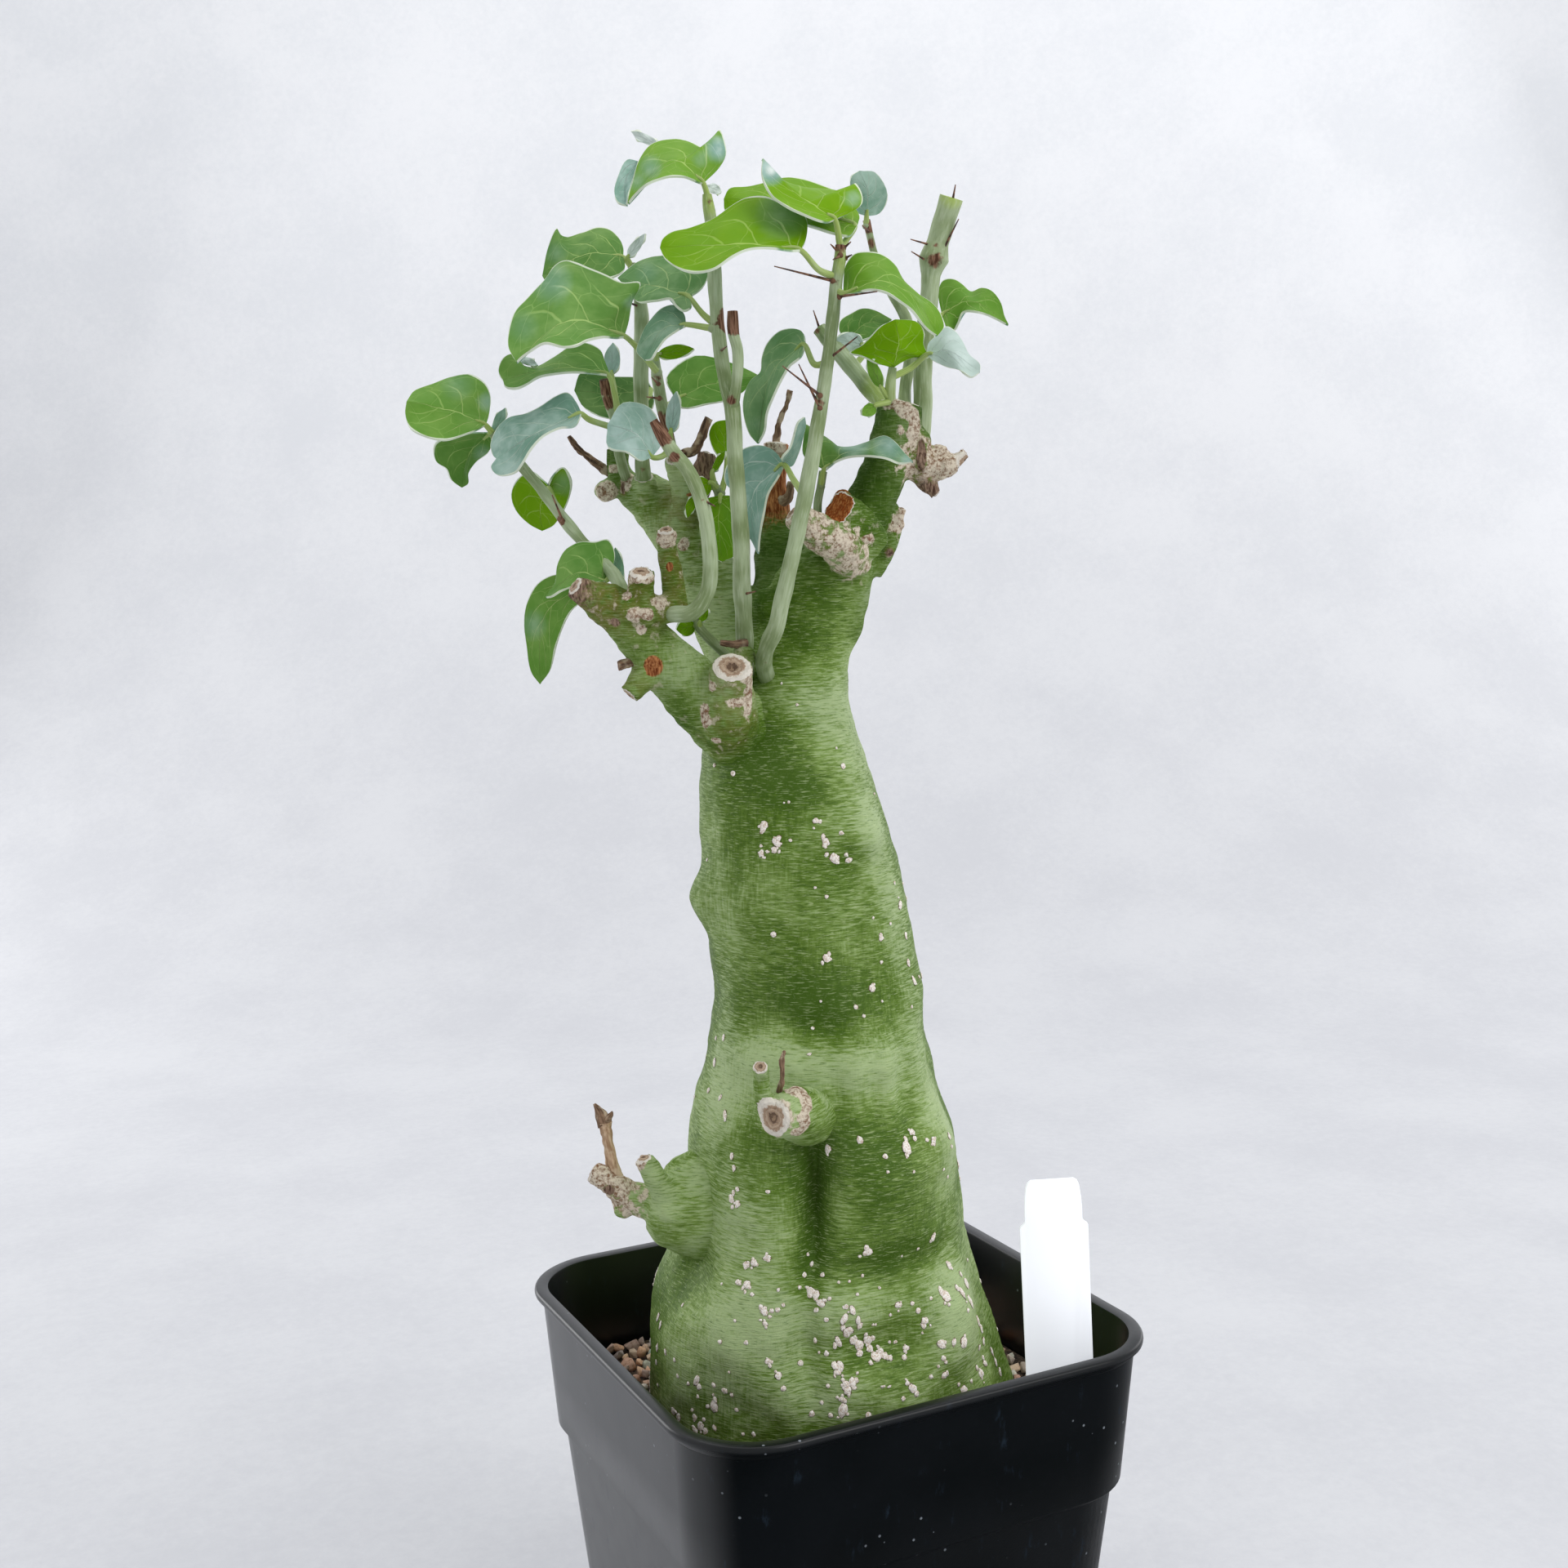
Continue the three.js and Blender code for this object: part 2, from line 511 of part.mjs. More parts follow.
const SHOOTS = {
  shoot_centre: {
    stems: [
      [[[914, 842, 4], [912, 804, 12], [911, 765, 15], [909, 720, 17], [908, 680, 18], [905, 620, 18],
        [900, 560, 18], [897, 500, 17], [889, 470, 16], [881, 420, 15], [876, 360, 14], [874, 300, 13],
        [868, 255, 13], [866, 238, 13]],
        [1.9, 1.9, 1.9, 1.9, 1.9, 1.8, 1.7, 1.7, 1.6, 1.5, 1.5, 1.4, 1.2, 1]],
      [[[896, 502, 17], [902, 470, 20], [903, 430, 21], [898, 408, 21], [897, 381, 21]],
        [1.3, 1.2, 1.2, 1.2, 1.1]],
    ],
    leaves: [
      { rib: [[863, 226, 13], [818, 193, 20], [765, 252, 25]],
        left: [[887, 184, 4], [840, 170, 6], [789, 173, 12], [757, 218, 19]],
        right: [[846, 217, 24], [806, 219, 28], [778, 233, 27]], stalk: [[871, 258, 13]] },
      { rib: [[842, 362, 8], [802, 345, 1], [760, 338, -6]],
        left: [[867, 334, 3], [826, 313, -5], [781, 319, -9]],
        right: [[838, 379, 13], [808, 369, 8], [780, 368, 1]], stalk: [[874, 396, 14], [860, 384, 11]] },
      { rib: [[840, 397, 12], [812, 402, 14], [783, 442, 17]],
        left: [[838, 381, 8], [812, 376, 8], [786, 405, 12]],
        right: [[832, 409, 16], [814, 418, 18], [796, 437, 19]], stalk: [[872, 402, 15]] },
    ],
    spines: [[[882, 430, 15], [890, 424, 24]], [[909, 728, 17], [926, 724, 22]]],
  },
  shoot_front: {
    stems: [
      [[[944, 842, 6], [935, 812, 15], [940, 790, 20], [950, 768, 23], [958, 735, 24], [967, 695, 25],
        [977, 650, 25],
        [987, 600, 25], [996, 555, 25], [1003, 510, 24], [1010, 468, 23], [1016, 425, 23], [1020, 385, 22],
        [1024, 345, 22], [1028, 318, 22], [1029, 300, 22]],
       [1.9, 1.9, 1.8, 1.8, 1.8, 1.7, 1.7, 1.7, 1.6, 1.5, 1.5, 1.4, 1.4, 1.3, 1.3, 1.1]],
    ],
    leaves: [
      { rib: [[1022, 267, 24], [985, 244, 27], [933, 194, 25]],
        left: [[1054, 236, 15], [1028, 233, 13], [975, 229, 17], [943, 215, 21]],
        right: [[1030, 272, 30], [990, 263, 34], [950, 240, 32]], stalk: [[1029, 302, 22]] },
      { rib: [[1028, 276, 15], [960, 247, 12], [887, 241, 8]],
        left: [[1052, 262, 7], [1002, 221, 1], [935, 223, 2]],
        right: [[1046, 288, 21], [1000, 279, 21], [930, 254, 15]],
        stalk: [[1030, 306, 22], [1030, 292, 18]] },
      { rib: [[981, 303, 32], [895, 291, 33], [809, 302, 32]],
        left: [[989, 262, 24], [925, 235, 21], [852, 276, 26]],
        right: [[965, 309, 37], [900, 311, 41], [850, 332, 39]], stalk: [[1020, 338, 22], [1002, 330, 27]] },
      { rib: [[1037, 357, 24], [1098, 342, 28], [1150, 411, 31]],
        left: [[1034, 326, 18], [1068, 306, 18], [1132, 362, 24]],
        right: [[1052, 357, 30], [1092, 361, 34], [1124, 391, 34]], stalk: [[1025, 352, 22]] },
      { rib: [[959, 567, 10], [922, 605, 10], [926, 677, 13]],
        left: [[930, 545, 5], [889, 570, 3], [898, 615, 7], [911, 655, 11]],
        right: [[948, 590, 13], [934, 618, 14], [930, 650, 14]], stalk: [[985, 608, 24], [972, 588, 17]] },
      { rib: [[979, 433, 13], [946, 456, 9], [926, 542, 9]],
        left: [[985, 405, 9], [943, 404, 5], [922, 458, 6], [908, 500, 7]],
        right: [[968, 446, 17], [952, 476, 15], [939, 512, 12]], stalk: [[1014, 444, 23], [997, 446, 18]] },
      { rib: [[960, 567, 11], [974, 545, 11], [986, 511, 10]],
        left: [[950, 552, 14], [964, 538, 13], [978, 522, 12]],
        right: [[970, 576, 8], [982, 552, 8], [988, 530, 9]], small: true },
    ],
    spines: [
      [[1020, 344, 23], [948, 326, 26]],
      [[1028, 363, 23], [1074, 357, 33]],
      [[1004, 484, 25], [958, 448, 27]],
      [[1014, 440, 23], [1050, 412, 28]],
      [[1004, 500, 25], [978, 446, 21]],
    ],
  },
  shoot_curved: {
    stems: [
      [[[818, 752, 24], [830, 752, 29], [845, 751, 31], [858, 741, 32], [867, 722, 33], [870, 695, 34],
        [868, 660, 34],
        [862, 625, 34], [852, 595, 33], [840, 572, 32], [826, 556, 31], [812, 534, 30], [800, 515, 30]],
       [1.5, 1.7, 1.7, 1.7, 1.6, 1.6, 1.5, 1.5, 1.5, 1.5, 1.5, 1.3, 0.9]],
    ],
    leaves: [],
    spines: [[[860, 612, 34], [876, 620, 36]]],
  },
  shoot_left: {
    stems: [
      [[[771, 754, 24], [757, 712, 16], [740, 690, 9], [715, 665, 6], [690, 636, 4], [665, 602, 2],
        [640, 572, 2],
        [616, 543, 3], [602, 530, 4]],
       [1.6, 1.5, 1.4, 1.3, 1.3, 1.2, 1.2, 1, 0.9]],
    ],
    leaves: [
      { rib: [[594, 521, 5], [548, 501, 8], [498, 491, 11]],
        left: [[602, 486, -3], [572, 456, -5], [515, 471, 3]],
        right: [[582, 531, 12], [545, 538, 15], [504, 527, 15]], stalk: [[606, 534, 3.5]] },
      { rib: [[599, 531, -2], [571, 556, -3], [565, 597, -5]],
        left: [[570, 536, 1], [532, 541, 2], [541, 572, -2]],
        right: [[603, 546, -5], [594, 562, -7], [577, 580, -7]], stalk: [[607, 537, 3]] },
      { ...plain([604, 532, 3], [618, 499, 4], 7), stalk: [[610, 540, 3]] },
      { rib: [[670, 595, -5], [662, 622, -9], [664, 649, -12]],
        left: [[650, 576, -7], [624, 606, -10], [643, 637, -12]],
        right: [[691, 570, -3], [701, 600, -4], [682, 636, -9]], stalk: [[684, 630, 3], [678, 612, -2]] },
      { rib: [[744, 712, 13], [705, 701, 15], [669, 732, 18]],
        left: [[758, 681, 8], [718, 658, 8], [683, 686, 13]],
        right: [[732, 714, 16], [706, 713, 18], [685, 722, 19]], stalk: [[752, 700, 12]] },
      { rib: [[722, 712, 11], [668, 752, 9], [661, 837, 6]],
        left: [[690, 703, 9], [644, 745, 6], [642, 797, 5]],
        right: [[717, 730, 13], [697, 763, 12], [681, 803, 8]], stalk: [[742, 692, 10]] },
    ],
    spines: [[[690, 640, 5], [676, 606, 9]]],
  },
  shoot_left_inner: {
    stems: [
      [[[769, 594, -19], [759, 558, -11], [755, 522, -4], [749, 500, -1], [744, 484, 0], [741, 465, 1]],
       [1.2, 1.2, 1.1, 1.3, 1.3, 1.3]],
    ],
    leaves: [
      { rib: [[746, 459, 2], [690, 449, 7], [613, 456, 11]],
        left: [[741, 430, -6], [712, 419, -5], [670, 444, 0], [628, 430, 5]],
        right: [[722, 457, 6], [680, 458, 11], [634, 478, 14]], stalk: [[756, 512, -3], [753, 484, 3]] },
      { ...plain([749, 459, -4], [750, 419, -6], 10), stalk: [[754, 514, -3], [753, 482, -5]] },
      { rib: [[714, 506, 12], [655, 531, 17], [603, 560, 14]],
        left: [[694, 479, 8], [650, 501, 9], [606, 530, 10]],
        right: [[692, 522, 18], [650, 545, 20], [624, 581, 17]],
        stalk: [[756, 525, -4], [736, 519, 3], [720, 513, 10]] },
    ],
    spines: [],
  },
  shoot_back_left: {
    stems: [
      [[[789, 596, -15], [787, 574, -12], [786, 540, -12], [785, 480, -12], [785, 430, -12], [785, 380, -13],
        [780, 345, -14], [774, 324, -15]],
       [1.8, 1.8, 1.75, 1.75, 1.7, 1.6, 1.3, 1]],
    ],
    leaves: [
      { rib: [[762, 312, -16], [715, 308, -12], [666, 324, -11]],
        left: [[752, 283, -21], [716, 279, -20], [684, 281, -16]],
        right: [[752, 334, -8], [710, 350, -6], [668, 345, -8]], stalk: [[774, 327, -15]] },
      { ...plain([768, 316, -14], [790, 286, -11], 6), stalk: [[776, 332, -15]] },
      { rib: [[798, 476, -18], [752, 482, -21], [703, 478, -24]],
        left: [[790, 464, -19], [750, 461, -21], [712, 456, -24]],
        right: [[798, 500, -17], [754, 513, -19], [716, 500, -22]],
        stalk: [[786, 492, -13], [795, 484, -16]] },
    ],
    spines: [[[784, 376, -13], [764, 368, -8]]],
  },
  shoot_knotted: {
    stems: [
      [[[836, 588, -9], [825, 556, -2], [816, 520, 0], [809, 487, 0], [804, 458, 0], [803, 438, 0]],
       [1.2, 1.2, 1.2, 1.4, 1.2, 0.8]],
    ],
    leaves: [
      { rib: [[766, 409, 16], [695, 393, 22], [632, 442, 27]],
        left: [[785, 352, 10], [700, 316, 6], [634, 372, 14]],
        right: [[752, 413, 23], [700, 427, 30], [660, 420, 30]], stalk: [[805, 456, 1], [784, 430, 7]] },
      { ...plain([804, 434, 1], [850, 427, 3], 9), stalk: [[803, 444, 0]] },
      { ...plain([821, 531, 4], [828, 479, 5], 9), stalk: [[820, 540, -1]] },
      { rib: [[798, 560, 12], [777, 530, 15], [744, 519, 16]],
        left: [[812, 538, 5], [797, 500, 5], [763, 493, 11]],
        right: [[786, 564, 16], [766, 552, 18], [744, 547, 17]], stalk: [[822, 546, -1], [812, 558, 5]] },
      { rib: [[828, 488, -14], [872, 470, -18], [931, 461, -20]],
        left: [[816, 462, -16], [850, 436, -20], [902, 446, -22]],
        right: [[836, 499, -12], [868, 494, -15], [902, 485, -18]], stalk: [[811, 498, 0], [820, 495, -8]] },
    ],
    spines: [[[806, 470, 1], [798, 462, 5]], [[808, 488, 1], [792, 486, 4]]],
  },
  shoot_right: {
    stems: [
      [[[1112, 560, 0], [1126, 536, -3], [1130, 500, -4], [1130, 460, -4], [1132, 420, -4], [1137, 370, -4],
        [1140, 338, -4], [1143, 318, -4], [1148, 297, -4], [1157, 268, -3], [1165, 242, -2]],
       [2, 2.1, 2.1, 2.1, 2.1, 2.1, 2.2, 2.9, 2.2, 2.1, 2.1]],
    ],
    leaves: [
      { rib: [[1154, 392, -12], [1192, 369, -9], [1236, 397, -6]],
        left: [[1149, 356, -16], [1170, 342, -15], [1192, 356, -13], [1220, 357, -11]],
        right: [[1164, 407, -9], [1176, 391, -8], [1206, 384, -6]],
        stalk: [[1136, 392, -5], [1146, 394, -10]] },
    ],
    spines: [
      [[1146, 302, -4], [1115, 293, 0]],
      [[1142, 324, -4], [1116, 308, 1]],
      [[1166, 248, -1], [1170, 226, 0]],
      [[1152, 312, -3], [1174, 268, -1]],
    ],
  },
  shoot_inner: {
    stems: [
      [[[1089, 514, 3], [1076, 490, -3], [1058, 468, -6], [1038, 444, -8], [1018, 420, -10],
        [1003, 402, -11]],
        [2, 2, 2, 1.9, 1.8, 1.7]],
    ],
    leaves: [
      { rib: [[1038, 415, -16], [1062, 396, -17], [1092, 391, -18]],
        left: [[1030, 394, -18], [1050, 378, -19], [1078, 380, -20]],
        right: [[1052, 417, -14], [1072, 411, -14], [1087, 401, -16]], stalk: [[1024, 430, -10]] },
      { ...plain([1058, 422, -10], [1023, 415, -8], 12), stalk: [[1042, 450, -8], [1056, 436, -9]] },
    ],
    spines: [[[1004, 404, -11], [996, 380, -9]]],
  },
  shoot_thin: {
    stems: [
      [[[1112, 528, 2], [1108, 480, -8], [1115, 430, -12], [1110, 392, -14], [1092, 358, -15],
        [1073, 318, -15],
        [1066, 292, -15], [1061, 270, -15]],
       [1.4, 1.4, 1.3, 1.3, 1.2, 0.9, 0.8, 0.8]],
    ],
    leaves: [
      { rib: [[1061, 265, -14], [1063, 236, -11], [1053, 209, -9]],
        left: [[1046, 258, -12], [1041, 234, -10], [1043, 216, -9]],
        right: [[1077, 261, -17], [1087, 239, -15], [1072, 211, -11]], stalk: [[1061, 277, -15]] },
    ],
    spines: [[[1065, 285, -15], [1056, 276, -11]]],
  },
  shoot_crown: {
    stems: [[[[1098, 516, 6], [1090, 488, 8], [1091, 466, 10], [1093, 450, 10]], [1.1, 1.1, 1, 0.9]]],
    leaves: [
      { rib: [[1093, 451, 10], [1097, 424, 13], [1087, 393, 14]],
        left: [[1064, 446, 12], [1045, 427, 12], [1062, 403, 13]],
        right: [[1120, 446, 8], [1143, 433, 7], [1126, 399, 10]] },
      { rib: [[1134, 432, 9], [1160, 424, 14], [1200, 453, 18]],
        left: [[1142, 412, 6], [1158, 397, 8], [1184, 424, 14]],
        right: [[1146, 442, 12], [1165, 445, 16], [1186, 453, 18]],
        stalk: [[1092, 462, 10], [1116, 450, 7]] },
      { ...plain([1080, 476, 10], [1062, 436, 12], 8), stalk: [[1090, 490, 8]] },
      { ...plain([1072, 496, 12], [1056, 509, 14], 8), stalk: [[1090, 492, 8]] },
    ],
    spines: [],
  },
  shoot_wing: {
    stems: [
      [[[1010, 698, 1], [1004, 668, 8], [1001, 620, 7], [1005, 596, 7], [1008, 578, 8]],
        [1.1, 1, 0.9, 0.9, 0.9]],
    ],
    leaves: [
      { rib: [[1008, 575, 9], [1042, 553, 13], [1118, 564, 18]],
        left: [[984, 546, 6], [984, 519, 3], [1022, 545, 5], [1079, 531, 10], [1106, 551, 15]],
        right: [[1020, 570, 12], [1050, 561, 16], [1085, 560, 18]], stalk: [[1005, 596, 7]] },
    ],
    spines: [],
  },
  shoot_tuft: {
    stems: [[[[847, 674, -13], [875, 640, -17], [880, 606, -10], [872, 590, -7]], [1.2, 1.2, 1.1, 1]]],
    leaves: [
      { rib: [[882, 606, -5], [880, 645, 0], [884, 688, 2]],
        left: [[862, 612, -6], [856, 645, -1], [866, 678, 1]],
        right: [[900, 610, -7], [905, 645, -2], [900, 680, 1]], stalk: [[883, 608, -9]] },
      { rib: [[890, 562, -12], [887, 538, -13], [891, 514, -14]],
        left: [[878, 556, -12], [868, 532, -12], [876, 517, -13]],
        right: [[900, 556, -13], [903, 535, -14], [899, 518, -14]],
        stalk: [[883, 604, -9], [889, 580, -11]] },
      { ...plain([870, 590, -5], [848, 604, -2], 13), stalk: [[878, 598, -8]] },
      { ...plain([872, 578, -5], [888, 552, -3], 5), stalk: [[874, 592, -7]] },
      { ...plain([850, 607, -6], [841, 634, -6], 6), stalk: [[876, 596, -8], [860, 598, -7]] },
    ],
    spines: [],
  },
  shoot_low: {
    stems: [
      [[[905, 824, -1], [886, 799, 8], [868, 782, 9], [856, 768, 9], [852, 758, 9]],
        [1.3, 1.2, 1.1, 1, 0.8]],
    ],
    leaves: [
      { ...plain([852, 766, 9], [828, 771, 11], 11), stalk: [[860, 772, 9]] },
      { ...plain([857, 762, 10], [867, 745, 11], 5), stalk: [[856, 770, 9]] },
    ],
    spines: [],
  },
};

function makeShoot({ stems, leaves, spines }) {
  return union([
    ...stems.map(([places, radii]) => limb(places, radii, { sides: 6, step: 9 })),
    ...leaves.map(makeLeaf),
    ...spines.map(([foot, end]) => spine(foot, end)),
  ]);
}

// The plain hole that a shoot's root stands in: its first stretch, a little wider.
function makeSocket({ stems }) {
  const [places, radii] = stems[0];
  const [root, next] = [at(places[0]), at(places[1])];
  const back = root.clone().sub(next).normalize();
  const span = root.distanceTo(next);
  const mouth = root.clone().addScaledVector(back, -Math.max(span, SOCKET_DEPTH) - 1.5);
  const radiiHere = radii.slice(0, 2);
  return limb([root.addScaledVector(back, GAP), mouth], radiiHere, { sides: 7, step: 50, grow: GAP });
}

// The label: a thin plastic stake with a narrow head and a pointed foot

function makeLabel(grow = 0) {
  const half = LABEL_WIDTH / 2 + grow;
  const head = LABEL_HEAD_WIDTH / 2 + grow;
  const shape = new THREE.Shape();
  shape.moveTo(-head + 1.5, grow);
  shape.lineTo(head - 1.5, grow);
  shape.quadraticCurveTo(head - 0.2, -1, head, -LABEL_HEAD_LENGTH * 0.6);
  shape.lineTo(head, -LABEL_HEAD_LENGTH);
  shape.lineTo(half, -LABEL_HEAD_LENGTH - 0.8);
  shape.lineTo(half, -LABEL_LENGTH + LABEL_POINT_LENGTH);
  shape.lineTo(1.2 + grow, -LABEL_LENGTH - grow);
  shape.lineTo(-1.2 - grow, -LABEL_LENGTH - grow);
  shape.lineTo(-half, -LABEL_LENGTH + LABEL_POINT_LENGTH);
  shape.lineTo(-half, -LABEL_HEAD_LENGTH - 0.8);
  shape.lineTo(-head, -LABEL_HEAD_LENGTH);
  shape.lineTo(-head, -LABEL_HEAD_LENGTH * 0.6);
  shape.quadraticCurveTo(-head + 0.2, -1, -head + 1.5, grow);
  const [top, foot] = [at([1288, 1444, 24]), at([1298, 1690, 20])];
  const yAxis = top.clone().sub(foot).normalize();
  const zAxis = level.clone().cross(yAxis).normalize();
  const xAxis = new THREE.Vector3().crossVectors(yAxis, zAxis);
  const depth = LABEL_THICKNESS + 2 * grow;
  const matrix = new THREE.Matrix4().makeBasis(xAxis, yAxis, zAxis);
  return extruded(shape, depth, matrix.setPosition(top.addScaledVector(zAxis, -depth / 2)));
}

// The potting mix: a block that fills the pot, covered in gravel

function makeGravel() {
  const top = POT_HEIGHT - SOIL_DEPTH;
  const ring = (z) => squareRing(wallAt(z) - WALL - GAP, POT_CORNER - LIP_OVERHANG - WALL - GAP, z);
  const ledge = POT_HEIGHT - COLLAR_HEIGHT;
  const foot = FLOOR + GAP;
  const block = loft([
    squareRing(wallAt(foot) - WALL - 2, POT_CORNER - LIP_OVERHANG - WALL - 2, foot),
    ring(foot + 2),
    ring(ledge - 0.5),
    ring(ledge + 0.8),
    ring(top),
  ]);
  const room = wallAt(top) - WALL - 2 * GAP - PEBBLE;
  const corner = room - (POT_CORNER - LIP_OVERHANG - WALL - PEBBLE);
  let seed = 7;
  const random = () => {
    seed = (seed * 16807) % 2147483647;
    return seed / 2147483647;
  };
  const pebbles = [];
  const lines = Math.floor((2 * room) / (PEBBLE_PITCH * 0.87));
  for (let i = 0; i <= lines; i++) {
    const y = -room + (2 * room * i) / lines;
    for (let x = -room + (i % 2 ? PEBBLE_PITCH / 2 : 0); x <= room; x += PEBBLE_PITCH) {
      const [px, py] = [x + random() - 0.5, y + random() - 0.5];
      const [lift, turn, stretch] = [random(), random() * 6, 0.85 + 0.3 * random()];
      const nook = Math.hypot(Math.max(Math.abs(px) - corner, 0), Math.max(Math.abs(py) - corner, 0));
      const row = trunkRow(top);
      const clear = Math.hypot(px - row.x, py - row.y) > row.radius - 1;
      if (!clear || nook > room - corner || Math.abs(px) > room || Math.abs(py) > room) continue;
      const stone = new THREE.IcosahedronGeometry(PEBBLE, 0).scale(stretch, 1 / stretch, 0.75);
      stone.rotateZ(turn).rotateX(turn / 3);
      pebbles.push(fromGeometry(stone.translate(px, py, top - 1.2 + 1.6 * lift)));
    }
  }
  return union([block, ...pebbles]).subtract(makeCaudex(GAP)).subtract(makeLabel(GAP));
}

// Finishes

const FINISHES = {
  black_plastic: { color: 0x1b1d20, roughness: 0.42 },
  gravel: { color: 0xa08068, roughness: 0.95 },
  skin: { color: 0x5f8440, roughness: 0.6 },
  white_plastic: { color: 0xf2f4f6, roughness: 0.45 },
  shoot: { color: 0x6f9a48, roughness: 0.55 },
};

const plant = new THREE.Group();

function place(name, made, finish) {
  const { vertProperties, triVerts } = made.getMesh();
  const geometry = new THREE.BufferGeometry()
    .setAttribute("position", new THREE.BufferAttribute(new Float32Array(vertProperties), 3))
    .setIndex(new THREE.BufferAttribute(new Uint32Array(triVerts), 1));
  geometry.computeVertexNormals();
  const material = new THREE.MeshStandardMaterial({ ...FINISHES[finish], metalness: 0 });
  const mesh = new THREE.Mesh(geometry, material);
  mesh.name = name;
  plant.add(mesh);
}

const sockets = Object.values(SHOOTS).map(makeSocket);

place("pot", makePot(), "black_plastic");
place("gravel", makeGravel(), "gravel");
place("label", makeLabel(), "white_plastic");
place("trunk", sockets.reduce((wood, socket) => wood.subtract(socket), makeTrunk()), "skin");
for (const [name, shoot] of Object.entries(SHOOTS)) place(name, makeShoot(shoot), "shoot");

export default plant;
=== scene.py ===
"""A potted caudex plant: a swollen green trunk with cut-back woody limbs and young leafy shoots, in a
square black nursery pot with a gravel top and a white plant label.

Metres, +Z up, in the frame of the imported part. Sizes are written in millimetres, times MM.
"""

import math
import random
from functools import lru_cache

import bmesh
import bpy
import numpy as np
from mathutils import Matrix, Vector, noise
from mathutils.bvhtree import BVHTree


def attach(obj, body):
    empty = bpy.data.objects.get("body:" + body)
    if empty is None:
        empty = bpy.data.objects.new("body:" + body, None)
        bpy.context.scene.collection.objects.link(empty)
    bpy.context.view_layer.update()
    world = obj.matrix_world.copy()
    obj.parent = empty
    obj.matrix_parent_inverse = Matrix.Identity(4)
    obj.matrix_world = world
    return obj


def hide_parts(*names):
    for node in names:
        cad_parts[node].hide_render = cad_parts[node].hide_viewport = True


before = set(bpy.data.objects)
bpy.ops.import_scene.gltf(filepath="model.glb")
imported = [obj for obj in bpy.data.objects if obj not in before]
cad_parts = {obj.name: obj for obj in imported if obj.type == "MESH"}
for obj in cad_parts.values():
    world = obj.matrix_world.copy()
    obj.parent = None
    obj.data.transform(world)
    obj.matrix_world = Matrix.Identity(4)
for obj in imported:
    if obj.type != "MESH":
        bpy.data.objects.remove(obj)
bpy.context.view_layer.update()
MM = 0.001

# The camera stands where the photograph was taken from, and the plant is set out through it. A place
# on the plant is (x, y, near): x and y are pixels of the square picture, and near is how many
# millimetres it stands in front of the upright plane through the pot's axis that faces the camera.

PICTURE = 1920  # the picture's side, in pixels
FOCAL = 2235.6  # the focal length, in pixels
SENSOR = 36
NEAREST = 10  # the camera sees nothing that is nearer
POT_HEIGHT = 112
EYE = Vector((-192.5, -361.9, POT_HEIGHT + 170.2)) * MM
EYE_AZIMUTH = math.radians(-26.93)
EYE_DOWN = math.radians(6.65)
EYE_ROLL = math.radians(-1.09)
UP = Vector((0, 0, 1))

toward = Vector((math.sin(EYE_AZIMUTH), -math.cos(EYE_AZIMUTH), 0))
ahead = -toward * math.cos(EYE_DOWN) - UP * math.sin(EYE_DOWN)
level = ahead.cross(UP).normalized()
rolled = Matrix.Rotation(-EYE_ROLL, 3, ahead)
rightward = rolled @ level
upward = rolled @ level.cross(ahead)


def at(place):
    """The point, in metres, of a place on the plant."""
    x, y, near = place
    ray = ahead + rightward * ((x - PICTURE / 2) / FOCAL) + upward * ((PICTURE / 2 - y) / FOCAL)
    return EYE + ray * ((near * MM - EYE.dot(toward)) / ray.dot(toward))


def placed(name, data):
    """A new object in the scene."""
    made = bpy.data.objects.new(name, data)
    bpy.context.collection.objects.link(made)
    return made


camera = placed("camera", bpy.data.cameras.new("camera"))
camera.data.sensor_width = SENSOR
camera.data.lens = FOCAL / PICTURE * SENSOR
camera.data.clip_start = NEAREST * MM
camera.matrix_world = Matrix.Translation(EYE) @ Matrix((rightward, upward, -ahead)).transposed().to_4x4()
bpy.context.scene.camera = camera
bpy.context.scene.view_settings.view_transform = "Standard"

# The pot is injection moulded in one piece from black polypropylene: a square shell with rounded
# corners, an overhanging lip, a collar that ends in a ledge, and four drain holes in its floor.

POT_WIDTH = 115
POT_CORNER = 20
LIP_OVERHANG = 1.7
LIP_THICKNESS = 1.6
WALL = 1.5
COLLAR_DRAFT = 0.07
DRAFT = 0.096
COLLAR_HEIGHT = 33.5
COLLAR_LEDGE = 1.3
MID_COLLAR = 92  # where the collar's wall has a ring of corner points
FLOOR = 2.5
DRAIN_RADIUS = 5
DRAIN_OFFSET = 27
DRILL_LENGTH = 20
CORNER_SHARE = 0.7  # how much of a turn round the pot goes to its four rounded corners
LEDGE = POT_HEIGHT - COLLAR_HEIGHT


class Flow:
    """A value that runs through a material. Arithmetic on it adds Math nodes."""

    def __init__(self, paint, socket):
        self.paint = paint
        self.socket = socket

    def __add__(self, other):
        return self.paint.maths("ADD", self, other)

    __radd__ = __add__

    def __sub__(self, other):
        return self.paint.maths("SUBTRACT", self, other)

    def __rsub__(self, other):
        return self.paint.maths("SUBTRACT", other, self)

    def __mul__(self, other):
        return self.paint.maths("MULTIPLY", self, other)

    __rmul__ = __mul__

    def __pow__(self, other):
        return self.paint.maths("POWER", self, other)

    def __abs__(self):
        return self.paint.maths("ABSOLUTE", self)


